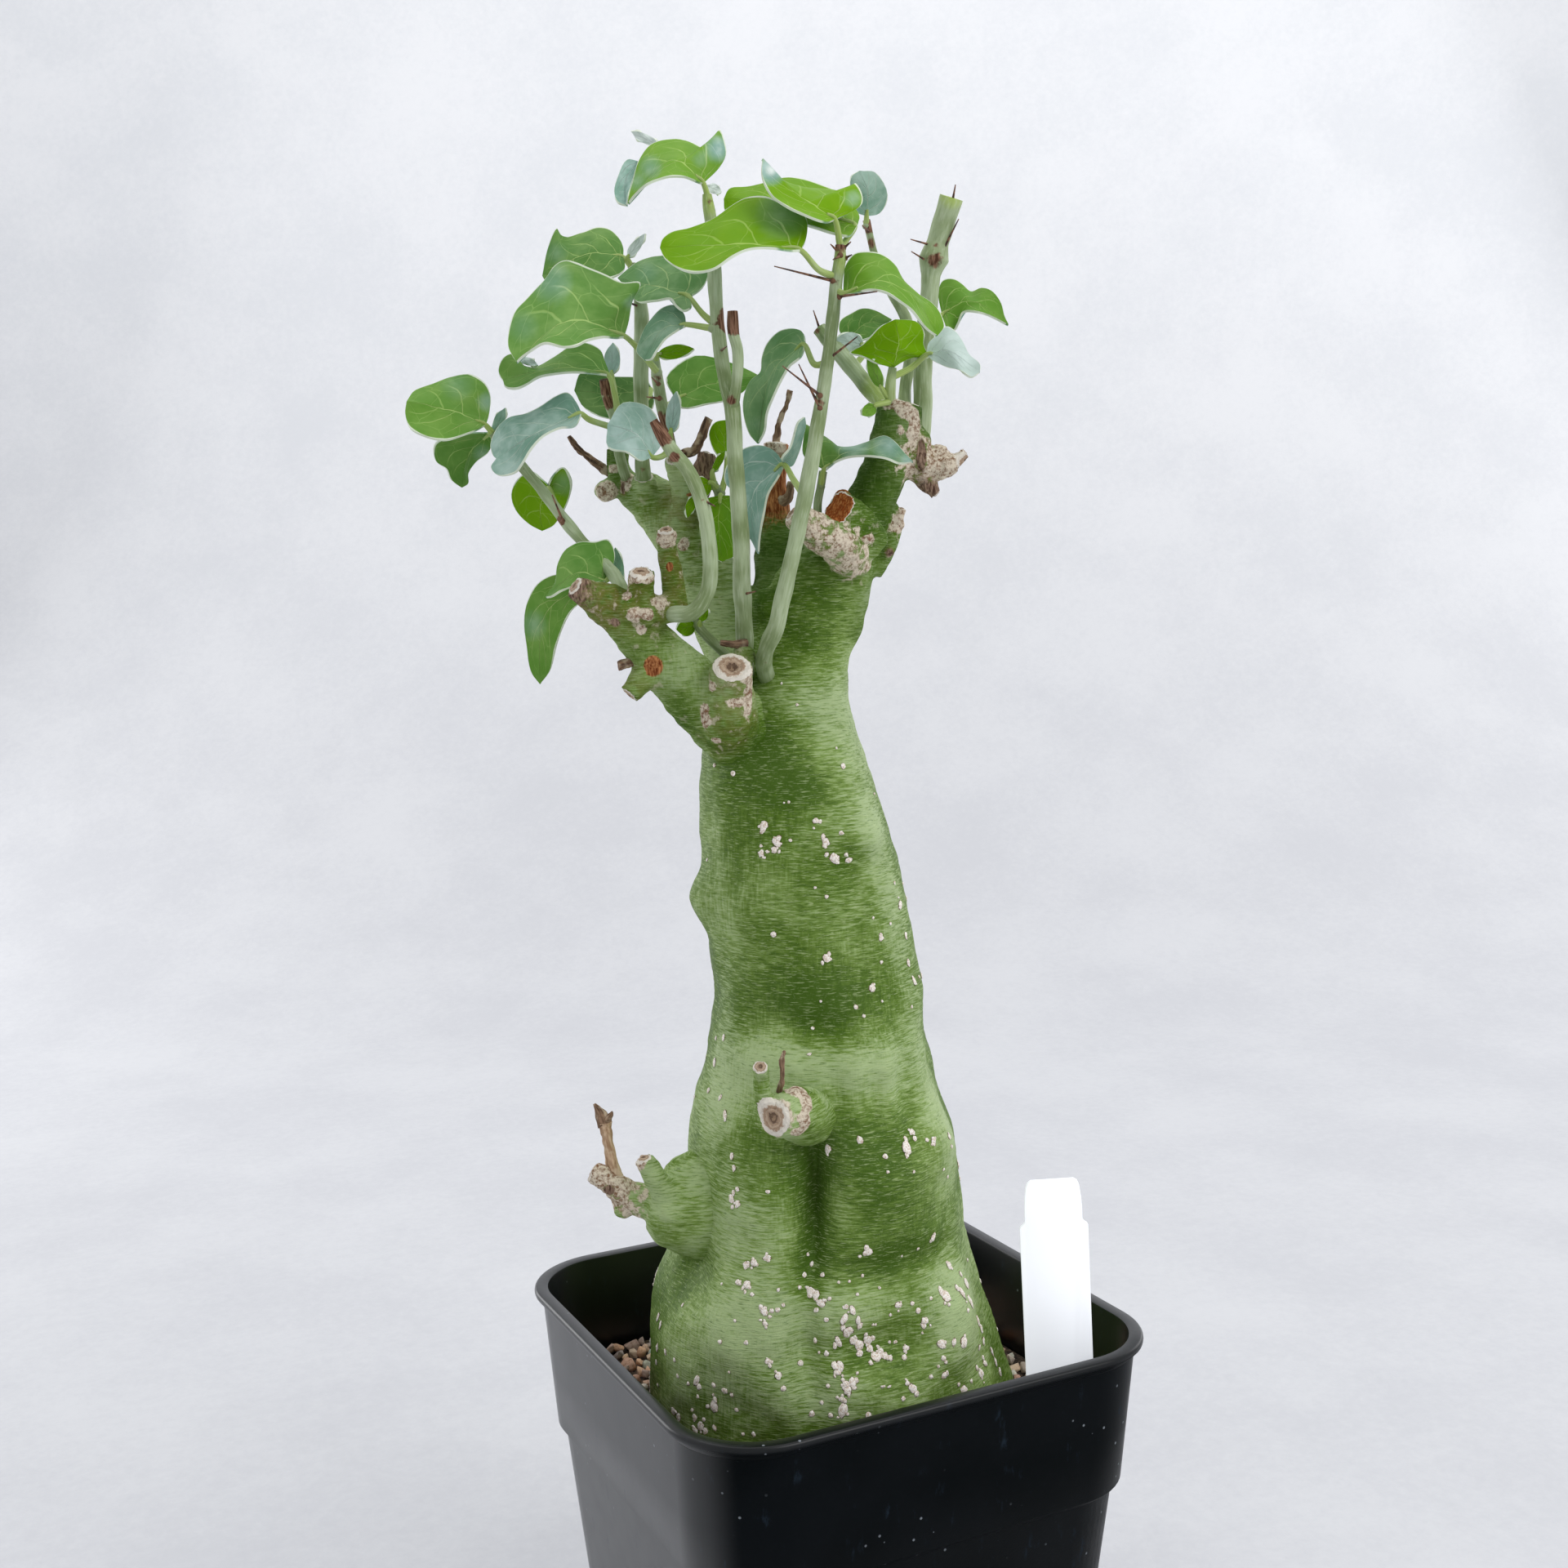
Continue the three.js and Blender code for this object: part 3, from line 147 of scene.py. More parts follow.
class Paint:
    """A material with one shader, and the nodes that feed it."""

    def __init__(self, name):
        self.material = bpy.data.materials.new(name)
        self.material.use_nodes = True
        self.tree = self.material.node_tree
        self.shader = self.tree.nodes["Principled BSDF"]

    def feed(self, socket, value):
        if isinstance(value, Flow):
            self.tree.links.new(value.socket, socket)
        else:
            socket.default_value = value

    def node(self, kind, settings=None, sockets=None, out=0):
        """Adds a node with its settings, then the values or links of its sockets."""
        made = self.tree.nodes.new("ShaderNode" + kind)
        for key, value in (settings or {}).items():
            if key == "stops":
                ramp = made.color_ramp.elements
                while len(ramp) < len(value):
                    ramp.new(1)
                for stop, (place, shade) in zip(ramp, value):
                    stop.position, stop.color = place, shade
            else:
                setattr(made, key, value)
        for key, value in (sockets or {}).items():
            self.feed(made.inputs[key], value)
        return Flow(self, made.outputs[out])

    def wear(self, **values):
        """Sets the shader's own sockets: base_color is Base Color."""
        for key, value in values.items():
            self.feed(self.shader.inputs[key.replace("_", " ").title().replace("Ior", "IOR")], value)

    def maths(self, operation, *values):
        return self.node("Math", {"operation": operation}, dict(enumerate(values)))

    def vector_maths(self, operation, first, second):
        return self.node("VectorMath", {"operation": operation}, {0: first, 1: second})

    def place(self, scale=(1, 1, 1)):
        """Object coordinates in millimetres, each stretched by scale."""
        return self.vector_maths("MULTIPLY", self.node("TexCoord", out="Object"), [s / MM for s in scale])

    def wrapped(self, scale):
        """The piece's UV map, stretched by scale."""
        return self.vector_maths("MULTIPLY", self.node("TexCoord", out="UV"), scale)

    def grain(self, scale, detail=2, roughness=0.5, where=None):
        """Noise from 0 to 1. scale is waves in a millimetre, one number or one along each axis."""
        if where is None:
            where = self.place(scale if isinstance(scale, tuple) else (scale,) * 3)
            scale = 1
        sockets = {"Vector": where, "Scale": scale, "Detail": detail, "Roughness": roughness}
        return self.node("TexNoise", None, sockets)

    def trait(self, name):
        return self.node("Attribute", {"attribute_name": name}, out="Fac")

    def axis(self, letter, vector=None):
        """One coordinate of a vector, or of a point in millimetres."""
        return self.node("SeparateXYZ", None, {0: vector or self.place()}, out=letter)

    def ramp(self, value, low, high):
        """0 where value is under low, 1 where it is over high, and smooth between."""
        sockets = {"Value": value, "From Min": low, "From Max": high}
        return self.node("MapRange", {"interpolation_type": "SMOOTHSTEP"}, sockets)

    def mix(self, amount, first, second):
        return self.node("Mix", {"data_type": "RGBA"}, {0: amount, 6: first, 7: second}, out=2)

    def blend(self, value, low, high, first, second):
        """Turns from one screen colour, where value is under low, to a second, where it is over high."""
        return self.mix(self.ramp(value, low, high), colour(first), colour(second))

    def over(self, base, code, amount):
        """The colour base, with an amount of a screen colour over it."""
        return self.mix(amount, base, colour(code))

    def relief(self, height, distance):
        """A bumped normal. distance is how many millimetres a height of 1 stands out."""
        return self.node("Bump", None, {"Height": height, "Distance": distance * MM})


def colour(code):
    """The linear colour of a six-digit screen colour."""
    parts = [int(code[i : i + 2], 16) / 255 for i in (0, 2, 4)]
    return (*[p / 12.92 if p <= 0.04045 else ((p + 0.055) / 1.055) ** 2.4 for p in parts], 1)


def mesh_start(*traits):
    """An empty bmesh with a UV map and a number on each corner point for each trait."""
    bm = bmesh.new()
    bm.loops.layers.uv.new("UVMap")
    for trait in traits:
        bm.verts.layers.float.new(trait)
    return bm


def stretch(bm, columns, rows, place, paint=0):
    """A sheet of columns by rows faces, each corner of it at place(u, v). Edges that meet are welded."""
    made = bmesh.ops.create_grid(bm, x_segments=columns, y_segments=rows, size=1, calc_uvs=True)["verts"]
    faces = list(dict.fromkeys(face for vert in made for face in vert.link_faces))
    for face in faces:
        face.material_index = paint
    for vert in made:
        u, v = round((vert.co.x + 1) / 2 * columns) / columns, round((vert.co.y + 1) / 2 * rows) / rows
        vert.co = place(u, v)
    bmesh.ops.remove_doubles(bm, verts=made, dist=1e-7)
    return [face for face in faces if face.is_valid]


def as_mesh(name, bm):
    """The mesh of a bmesh that is done with."""
    mesh = bpy.data.meshes.new(name)
    bm.to_mesh(mesh)
    bm.free()
    return mesh


def finish(name, source, paints, nodes=(), crease=35, recalc=True):
    """Makes the finished piece of a bmesh or a mesh, smooth but for edges sharper than crease degrees."""
    mesh = source
    if isinstance(source, bmesh.types.BMesh):
        if recalc:
            bmesh.ops.recalc_face_normals(source, faces=source.faces)
        mesh = as_mesh(name, source)
    for paint in paints:
        mesh.materials.append(paint.material)
    mesh.shade_smooth()
    mesh.set_sharp_from_angle(angle=math.radians(crease))
    piece = placed(name, mesh)
    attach(piece, "root")
    if nodes:
        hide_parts(*nodes)


def square_ring(turn, half, corner, z):
    """The point at turn, from 0 to 1, round a square with rounded corners."""
    quarter, part = divmod(turn % 1 * 4, 1)
    signs = [(1, 1), (-1, 1), (-1, -1), (1, -1)]

    def on_arc(which, share):
        sx, sy = signs[which % 4]
        angle = math.pi / 2 * (which + share)
        x = sx * (half - corner) + corner * math.cos(angle)
        return Vector((x, sy * (half - corner) + corner * math.sin(angle), z)) * MM

    if part < CORNER_SHARE:
        return on_arc(int(quarter), part / CORNER_SHARE)
    straight = (part - CORNER_SHARE) / (1 - CORNER_SHARE)
    return on_arc(int(quarter), 1).lerp(on_arc(int(quarter) + 1, 0), straight)


def wall_at(z):
    """Half the pot's width at height z, outside its wall."""
    below = POT_HEIGHT - z
    collar = min(below, COLLAR_HEIGHT)
    ledge = COLLAR_LEDGE if below > COLLAR_HEIGHT else 0
    return POT_WIDTH / 2 - LIP_OVERHANG - collar * COLLAR_DRAFT - (below - collar) * DRAFT - ledge


def on_wall(inset, z):
    """A ring of the pot: half its width, its corner's radius and its height."""
    return wall_at(z) - inset, POT_CORNER - LIP_OVERHANG - inset, z


def on_lip(out, below):
    """A ring of the lip, below the pot's top."""
    return POT_WIDTH / 2 - LIP_OVERHANG + out, POT_CORNER - LIP_OVERHANG + out, POT_HEIGHT - below


# The rings run from the middle of the underside, up the outside and over the lip, down to the floor.
pot_profile = [
    (0, 0, 0), on_wall(1, 0), on_wall(0.3, 0.3), on_wall(0, 1), on_wall(0, LEDGE - 1.3),
    on_wall(-0.15, LEDGE - 1.05), on_wall(0.15, LEDGE + 0.05), on_wall(0, LEDGE + 0.3),
    on_wall(0, MID_COLLAR), on_wall(0, POT_HEIGHT - 3.4), on_wall(-0.25, POT_HEIGHT - 3.1),
    on_wall(-0.3, POT_HEIGHT - LIP_THICKNESS - 0.45), on_lip(LIP_OVERHANG - 0.45, LIP_THICKNESS + 0.1),
    on_lip(LIP_OVERHANG - 0.12, LIP_THICKNESS - 0.1), on_lip(LIP_OVERHANG, 1),
    on_lip(LIP_OVERHANG - 0.08, 0.5), on_lip(LIP_OVERHANG - 0.3, 0.17), on_lip(LIP_OVERHANG - 0.65, 0),
    on_lip(0.5 - WALL, 0.02), on_lip(-WALL, 0.2), on_lip(-WALL - 0.18, 0.7), on_wall(WALL, MID_COLLAR),
    on_wall(WALL, LEDGE + 0.05), on_wall(WALL, LEDGE - 1.3), on_wall(WALL, FLOOR + 1.5),
    on_wall(WALL + 0.5, FLOOR + 0.4), on_wall(WALL + 1.5, FLOOR), (0, 0, FLOOR),
]


def on_pot(u, v):
    half, corner, z = pot_profile[round(v * (len(pot_profile) - 1))]
    return square_ring(u, half, corner, z)


def worked(mesh, name, kind, **settings):
    """The mesh with one modifier applied."""
    blank = placed(name, mesh)
    modifier = blank.modifiers.new(name, kind)
    for key, value in settings.items():
        setattr(modifier, key, value)
    done = bpy.data.meshes.new_from_object(blank.evaluated_get(bpy.context.evaluated_depsgraph_get()))
    bpy.data.objects.remove(blank)
    return done


black = Paint("black polypropylene")
wisps = black.ramp(black.grain((0.5, 0.5, 0.16), 5, 0.65), 0.56, 0.72)
film = wisps * black.ramp(black.grain(0.11, 3), 0.5, 0.64)
specks = black.node("TexVoronoi", None, {"Vector": black.place(), "Scale": 0.32})
dust = black.ramp(0.11 - specks, 0, 0.03) * black.ramp(black.grain(0.05, 2), 0.5, 0.62)
shade = black.blend(black.grain(0.04, 3), 0.35, 0.7, "04080a", "0a0e11")
shade = black.over(shade, "2c3a48", film * 0.4)
shade = black.over(shade, "8d949b", dust * 0.7)
moulding = black.grain(2.2, 3) * 0.35 + black.grain(0.035, 1)
# The side that faces front is dulled. The lip and the other sides have kept their gloss.
across, deep, tall = (black.axis(letter) for letter in "XYZ")
lip_gloss = black.ramp(tall, POT_HEIGHT - 1.6, POT_HEIGHT - 0.6) * 0.6
dulled = black.ramp(0 - deep - abs(across), -8, 4) * (1 - lip_gloss)
black.wear(base_color=shade, roughness=black.grain(0.16, 3) * 0.16 + 0.3 + film * 0.2,
           normal=black.relief(moulding, 0.05), specular_ior_level=0.03,
           coat_weight=0.95 - dulled * 0.93, coat_roughness=0.3)

bm = mesh_start()
stretch(bm, 80, len(pot_profile) - 1, on_pot)
bmesh.ops.recalc_face_normals(bm, faces=bm.faces)
moulded = as_mesh("moulded", bm)
bm = bmesh.new()
for sx in (-1, 1):
    for sy in (-1, 1):
        spot = Matrix.Translation(Vector((sx * DRAIN_OFFSET, sy * DRAIN_OFFSET, 0)) * MM)
        bmesh.ops.create_cone(bm, cap_ends=True, segments=32, radius1=DRAIN_RADIUS * MM,
                              radius2=DRAIN_RADIUS * MM, depth=DRILL_LENGTH * MM, matrix=spot)
drill = placed("drill", as_mesh("drill", bm))
drained = worked(moulded, "drained", "BOOLEAN", operation="DIFFERENCE", solver="EXACT", object=drill)
bpy.data.objects.remove(drill)
finish("pot_shell", drained, [black], ["pot"])

# The trunk is the plant's swollen stem: living green skin over a soft store of water, lobed and
# creased, with fine level wrinkles. It stands in the gravel on a rounded foot.

# Where its two edges are seen: (y, left, right), in pixels, from the foot up to the fork.
TRUNK_ROWS = [
    (1838, 905, 1130), (1800, 845, 1195), (1750, 808, 1232), (1705, 798, 1240), (1660, 795, 1230),
    (1610, 797, 1213), (1565, 803, 1199), (1520, 818, 1184), (1470, 832, 1179), (1420, 842, 1170),
    (1380, 846, 1166), (1340, 851, 1150), (1300, 861, 1140), (1260, 870, 1131), (1205, 875, 1127),
    (1150, 868, 1117), (1100, 860, 1107), (1050, 860, 1097), (1000, 858, 1083), (950, 856, 1068),
    (900, 864, 1050), (860, 882, 1040), (820, 905, 1040), (780, 924, 1047), (740, 936, 1056),
    (700, 950, 1062), (672, 975, 1056),
]
# Swellings and hollows: (x, y, across, along, height), in pixels and millimetres.
FRONT_SWELLINGS = [
    (854, 1090, 6, 4.6, 1.9), (854, 1110, 6, 4.6, 1.8), (1046, 1022, 8, 5, 3.2), (990, 985, 12, 16, 1.4),
    (985, 1302, 17, 5, 3.6), (990, 1262, 17, 4, -1.4), (1020, 930, 8, 5, 1.2), (940, 900, 9, 3, -1.2),
    (1078, 1310, 9, 12, 3.2), (1098, 1330, 4, 12, -2.2), (978, 1366, 8, 6, 5.5), (1142, 1392, 9, 11, 2.6),
    (1085, 1440, 12, 18, 4.2), (996, 1455, 4.5, 17, -5.5), (996, 1470, 1.8, 15, -3.2),
    (930, 1480, 12, 16, 3.2), (1100, 1552, 24, 4, -1.8), (850, 1556, 8, 7, -3.2), (848, 1510, 3, 8, -1.6),
    (1062, 1335, 2.5, 9, -1.6), (1020, 1322, 2.5, 7, -1.2), (905, 1612, 11, 11, 3.4),
    (1160, 1620, 10, 10, 3.2), (1010, 1610, 10, 9, 2), (985, 1660, 4, 11, -3.4), (1080, 1650, 14, 5, -2.6),
    (950, 1700, 10, 8, 2.2), (1090, 1712, 12, 7, 2.4), (835, 1650, 8, 14, 2),
]
BACK_SWELLINGS = [
    (1000, 1190, 10, 18, 1.6), (960, 1400, 14, 16, 4.5), (1020, 1410, 4.5, 20, -5.5),
    (1090, 1450, 13, 17, 4), (1120, 1580, 12, 10, 3), (930, 1600, 13, 10, 3.4), (1010, 1050, 7, 6, 3.4),
]
# Paler and darker patches of the skin: (x, y, across, along, amount). They are partly the skin's own tone
# and partly painted light and shade: pale rims down both sides, a darker crease and neck, and paler places
# low down that would lie in shade.
FRONT_PATCHES_AND_SHADE = [
    (1015, 745, 9, 12, -0.8), (1062, 700, 4, 14, 0.6), (1010, 868, 11, 7, 0.9), (1052, 905, 8, 11, 0.7),
    (930, 925, 11, 8, -0.8), (985, 962, 9, 6, -0.5), (1058, 1010, 7, 9, 0.6), (1035, 1035, 4, 4, -0.6),
    (880, 1060, 5, 30, 0.25), (885, 1200, 5, 22, 0.25), (985, 1110, 13, 22, -0.1),
    (1000, 1225, 14, 7, -0.8), (1098, 1130, 6, 26, 0.7), (960, 1302, 14, 5, 0.6), (885, 1330, 8, 14, 0.5),
    (1080, 1310, 9, 6, 0.45), (1142, 1350, 5, 12, 0.6), (1030, 1398, 7, 6, -0.6), (950, 1415, 8, 6, -0.5),
    (996, 1470, 3, 16, -1), (1088, 1445, 11, 17, -0.9), (1155, 1440, 5, 22, 0.35), (905, 1490, 9, 14, 0.2),
    (870, 1580, 7, 12, -0.3), (960, 1625, 13, 9, 0.8), (1050, 1610, 9, 8, 0.2), (1160, 1600, 10, 10, 0.8),
    (1075, 1542, 16, 4, -0.5), (1065, 1682, 16, 6, -0.3), (1015, 1715, 8, 7, 0.8), (930, 1720, 9, 6, 0.3),
    (875, 1690, 9, 9, 0.5),
]
BACK_PATCHES = [
    (960, 1150, 14, 20, 0.5), (1040, 1400, 12, 14, -0.6), (960, 1500, 14, 12, -0.5),
    (1080, 1620, 14, 12, 0.7), (930, 1620, 10, 10, 0.4), (1000, 900, 12, 10, 0.5),
    (1050, 1250, 12, 10, -0.4),
]
SKIN_FOOT = 68
SKIN_TOP = 284
# The skin ends under the old wood, which takes over between these two heights.
SHARED_FROM = 256
SHARED_TO = 270


def trunk_edges(row):
    y, left, right = row
    a, b = at((left, y, 0)), at((right, y, 0))
    middle = (a + b) / 2
    return Vector((middle.x, middle.y, middle.z, (a - b).length / 2)) / MM


trunk_rows = [trunk_edges(row) for row in TRUNK_ROWS]


@lru_cache(maxsize=None)
def trunk_row(z):
    """The trunk's middle and mean radius at height z: a vector of x, y, z and radius."""
    k = next((i for i, row in enumerate(trunk_rows) if row.z > z), len(trunk_rows) - 1)
    k = max(k, 1)
    before, a, b = trunk_rows[max(k - 2, 0)], trunk_rows[k - 1], trunk_rows[k]
    after = trunk_rows[min(k + 1, len(trunk_rows) - 1)]
    t = min(max((z - a.z) / (b.z - a.z), 0), 1)
    return a + 0.5 * t * ((b - before) + t * (2 * before - 5 * a + 4 * b - after
                                              + t * (3 * (a - b) + after - before)))


def swelling(entry, side):
    """The height and the angle at which a swelling stands, from where it is seen."""
    x, y, across, along, height = entry
    near = 0
    for _ in range(4):
        place = at((x, y, near)) / MM
        row = trunk_row(place.z)
        off = (place - row.xyz).dot(level) / row.w
        near = row.xyz.dot(toward) + side * row.w * math.sqrt(1 - min(max(off, -0.98), 0.98) ** 2)
    place = at((x, y, near)) / MM
    row = trunk_row(place.z)
    return place.z, math.atan2(place.y - row.y, place.x - row.x), across, along, height


def all_round(front, back):
    return [swelling(entry, 1) for entry in front] + [swelling(entry, -1) for entry in back]


swellings = all_round(FRONT_SWELLINGS, BACK_SWELLINGS)
patches_and_shade = all_round(FRONT_PATCHES_AND_SHADE, BACK_PATCHES)


def summed(mounds, row, angle, z):
    """What soft mounds, made by swelling, add up to at an angle and height on the trunk."""
    total = 0
    for there, turn, across, along, amount in mounds:
        rise = (z - there) / along
        if abs(rise) < 3:
            apart = math.remainder(angle - turn, math.tau) * row.w / across
            total += amount * math.exp(-apart * apart - rise * rise)
    return total


def skin_radius(row, angle, z):
    return row.w + summed(swellings, row, angle, z)


def skin_point(angle, z, sunk):
    """A point on the skin, in millimetres, with its dents and level wrinkles."""
    row = trunk_row(round(z, 3))
    radius = skin_radius(row, angle, z) - sunk
    out = Vector((math.cos(angle), math.sin(angle), 0))
    p = Vector((row.x, row.y, z)) + out * radius
    dents = 0.75 * noise.noise(p / 11) + 0.28 * noise.noise(p / 4.2)
    wrinkles = 0.1 * noise.noise(Vector((p.x / 5, p.y / 5, p.z / 0.8)))
    return p + out * (dents + wrinkles)


def sheath(foot, top, sunk):
    """Places on the skin from foot to top, closed at both ends. sunk(share) is how deep they lie, where
    share is how far the old wood has taken over."""

    def on_sheath(u, v):
        z = foot + (top - foot) * v
        if v in (0, 1):
            row = trunk_row(round(z, 3))
            return Vector((row.x, row.y, z)) * MM
        share = min(max((z - SHARED_FROM) / (SHARED_TO - SHARED_FROM), 0), 1)
        return skin_point(math.tau * u, z, sunk(share)) * MM

    return on_sheath


def traits_of(bm, *names):
    return [bm.verts.layers.float[name] for name in names]


def paint_skin(paint):
    """The green skin's colour and relief: clouds, level dashes and short upright strokes. Swollen places
    are painted paler and hollows darker, as painted shade, and the patches add paler and darker places,
    partly painted light and shade.
    """
    clouds = paint.grain(0.045, 4, 0.55)
    dashes = paint.grain((0.3, 0.3, 2.6), 4, 0.62)
    strokes = paint.grain((1.7, 1.7, 0.22), 3, 0.6)
    ticks = paint.grain((0.5, 0.5, 4.4), 2)
    fine = paint.grain(2.4, 3, 0.6)
    upright = paint.ramp(paint.grain(0.035, 2), 0.45, 0.62) * 0.5
    streaks = dashes * (1 - upright) + strokes * upright
    swell = paint.ramp(paint.trait("swell"), -0.6, 1.6)
    patch = paint.trait("patch")
    # pale and deep carry the painted shade of the swellings and the painted light and shade of the patches.
    pale = paint.ramp(streaks * 0.9 + clouds * 0.5 + swell * 0.12 + patch * 0.26, 0.7, 0.98)
    deep = paint.ramp(1.24 - streaks * 0.9 - clouds * 0.5 - swell * 0.15 - patch * 0.32, 0.42, 0.74)
    base = paint.blend(clouds, 0.35, 0.65, "5e7c26", "7f9a4c")
    base = paint.over(base, "3c5a12", deep * 0.85)
    base = paint.over(base, "afc290", pale * 0.8)
    base = paint.over(base, "b6c690", paint.ramp(ticks, 0.56, 0.68) * 0.5)
    base = paint.over(base, "3f5e16", paint.ramp(0.5 - ticks, 0.08, 0.2) * 0.5)
    base = paint.over(base, "c6d3a6", paint.ramp(fine, 0.55, 0.8) * 0.2)
    return base, dashes * 0.5 + strokes * 0.25 + ticks * 0.4 + fine * 0.2


bm = mesh_start("swell", "patch")
swell, patch = traits_of(bm, "swell", "patch")
stretch(bm, 270, 310, sheath(SKIN_FOOT, SKIN_TOP, lambda share: 1.8 * share * share * (3 - 2 * share)))
# The swell trait is how far the skin swells out of its row: the material paints swollen places paler and
# hollows darker, as painted shade.
for vert in bm.verts:
    row = trunk_row(round(vert.co.z / MM, 3))
    out = vert.co / MM - row.xyz
    vert[swell] = (out.xy.length - row.w) / 3
    # The patch trait: the skin's paler and darker patches, with their painted light and shade.
    vert[patch] = summed(patches_and_shade, row, math.atan2(out.y, out.x), row.z)
bmesh.ops.recalc_face_normals(bm, faces=bm.faces)
skin_tree = BVHTree.FromBMesh(bm)
skin = Paint("green skin")
skin_colour, skin_relief = paint_skin(skin)
skin.wear(base_color=skin_colour, roughness=skin.grain(0.8, 2) * 0.16 + 0.42,
          normal=skin.relief(skin_relief, 0.28), specular_ior_level=0.12)
finish("caudex_skin", bm, [skin], ["trunk"], crease=80)

# The old wood grew out of the trunk's fork: three limbs that were cut back many times, their stubs and
# knobs, a dead orange stump and dry stumps, all grown together.

# Each limb is (places, radii, look, end): look is the bark, and end how its tip is finished.
LIMBS = [
    ([(935, 912, 4), (885, 876, 11), (842, 838, 17), (800, 795, 21), (765, 757, 24), (736, 733, 26)],
     [10, 8.4, 7, 5.8, 5, 4.6], "green", None),
    ([(930, 835, -4), (896, 768, -10), (862, 702, -15), (830, 648, -18), (800, 614, -20), (772, 594, -20)],
     [9.5, 8.4, 7.5, 6.8, 6, 4.6], "olive", None),
    ([(985, 812, 0), (1003, 755, 0), (1022, 705, 1), (1046, 652, 2), (1070, 605, 3), (1088, 560, 4),
      (1099, 520, 4), (1104, 492, 4)],
     [8.5, 10.3, 8.8, 6.4, 5.3, 5.1, 5.3, 4.8], "dark", "rough"),
    ([(965, 750, -10), (960, 705, -14), (955, 668, -16), (950, 645, -17)], [9, 6.8, 6, 4.6], "dark", None),
    ([(895, 908, 10), (893, 872, 19), (894, 838, 22), (896, 815, 26)], [6.5, 6.2, 4.8, 4.2], "stub", "pit"),
    ([(742, 738, 26), (722, 729, 28), (702, 716, 30)], [4.4, 3.4, 2.2], "rust", "cut"),
    ([(784, 762, 24), (785, 728, 27), (785, 699, 30)], [4.2, 2.8, 2.7], "stub", "cut"),
    ([(775, 752, 25), (806, 748, 25), (832, 748, 26)], [4, 3.4, 2.3], "stub", None),
    ([(826, 752, 23), (824, 715, 22), (818, 680, 22), (815, 647, 25)], [3, 2.5, 2.3, 2], "stub", "grey"),
    ([(800, 815, 21), (783, 836, 23), (769, 852, 24)], [4, 2.7, 2.2], "stub", "rough"),
    ([(775, 606, -20), (758, 576, -20), (756, 547, -19)], [3.6, 2.7, 2.5], "dark", "rough"),
    ([(800, 618, -19), (790, 598, -15), (788, 582, -13)], [4.4, 3, 2.5], "olive", "rough"),
    ([(835, 662, -16), (840, 608, -12), (825, 560, -3)], [5.4, 3.6, 2.3], "olive", "rough"),
    ([(842, 622, -15), (860, 582, -17), (868, 553, -17)], [4, 2.8, 2.2], "dry", "rough"),
    ([(950, 655, -17), (946, 602, -17), (950, 562, -17), (951, 541, -17)],
     [4.6, 3.3, 2.5, 3.2], "dead", "cut"),
    ([(1044, 690, 8), (1030, 668, 14), (1008, 655, 17), (986, 641, 20), (968, 627, 21)],
     [4.7, 4.7, 4.2, 3.4, 2.4], "corky", "rough"),
    ([(1040, 636, 8), (1033, 616, 11), (1028, 600, 12)], [3.6, 2.6, 1.2], "dead", None),
    ([(1064, 668, 6), (1046, 641, 11), (1026, 622, 15)], [5, 4.7, 4], "green", "orange"),
    ([(1064, 700, 0), (1082, 670, 0), (1092, 652, 0)], [3.2, 2.9, 2.1], "green", None),
    ([(1090, 658, 0), (1096, 642, 1), (1104, 620, 1)], [1.5, 1.9, 1.1], "pale", "rough"),
    ([(1104, 556, 3), (1134, 568, 2), (1156, 571, 3), (1172, 566, 3)], [4.4, 3, 2.5, 2.1], "cork", "rough"),
    ([(1128, 564, 2), (1147, 557, 2), (1162, 553, 2)], [2.6, 2, 1.5], "corky", "rough"),
    ([(1160, 570, 3), (1174, 561, 3), (1183, 553, 3)], [2, 1.7, 1.2], "cork", "rough"),
    ([(1118, 572, 2), (1134, 591, 2), (1148, 607, 2)], [3, 1.9, 1.4], "rust", "rough"),
    ([(880, 1474, 8), (840, 1476, 12), (814, 1477, 14), (795, 1474, 14)],
     [14.6, 11.6, 8.9, 5], "skin", None),
    ([(800, 1474, 14), (768, 1462, 14), (745, 1446, 14), (723, 1436, 14)],
     [4, 3.2, 2.8, 2], "cork", "rough"),
    ([(818, 1466, 18), (801, 1440, 20), (788, 1417, 21)], [3.4, 2.6, 1.9], "olive", "cut"),
    ([(990, 1368, 28), (976, 1364, 36), (961, 1366, 41), (947, 1369, 44)],
     [6.4, 5.8, 4.8, 4], "skin", "cut"),
    ([(941, 1364, 39), (934, 1340, 42), (932, 1320, 42), (931, 1305, 45)],
     [2.6, 1.9, 1.7, 1.9], "stem", "cut"),
]
# Each knob is (place, radius).
KNOBS = [
    ((767, 748, 29), 2.4), ((790, 754, 29), 2.4), ((743, 600, -18), 2.8), ((1123, 540, 4), 3.2),
    ((1113, 508, 6), 2.8), ((862, 884, 19), 2.4), ((940, 742, 3), 4.2), ((1055, 655, 12), 2.4),
    ((910, 803, 16), 2.6), ((763, 1480, 14), 2.2), ((1084, 666, 2), 2.8), ((1128, 566, 4), 3),
]
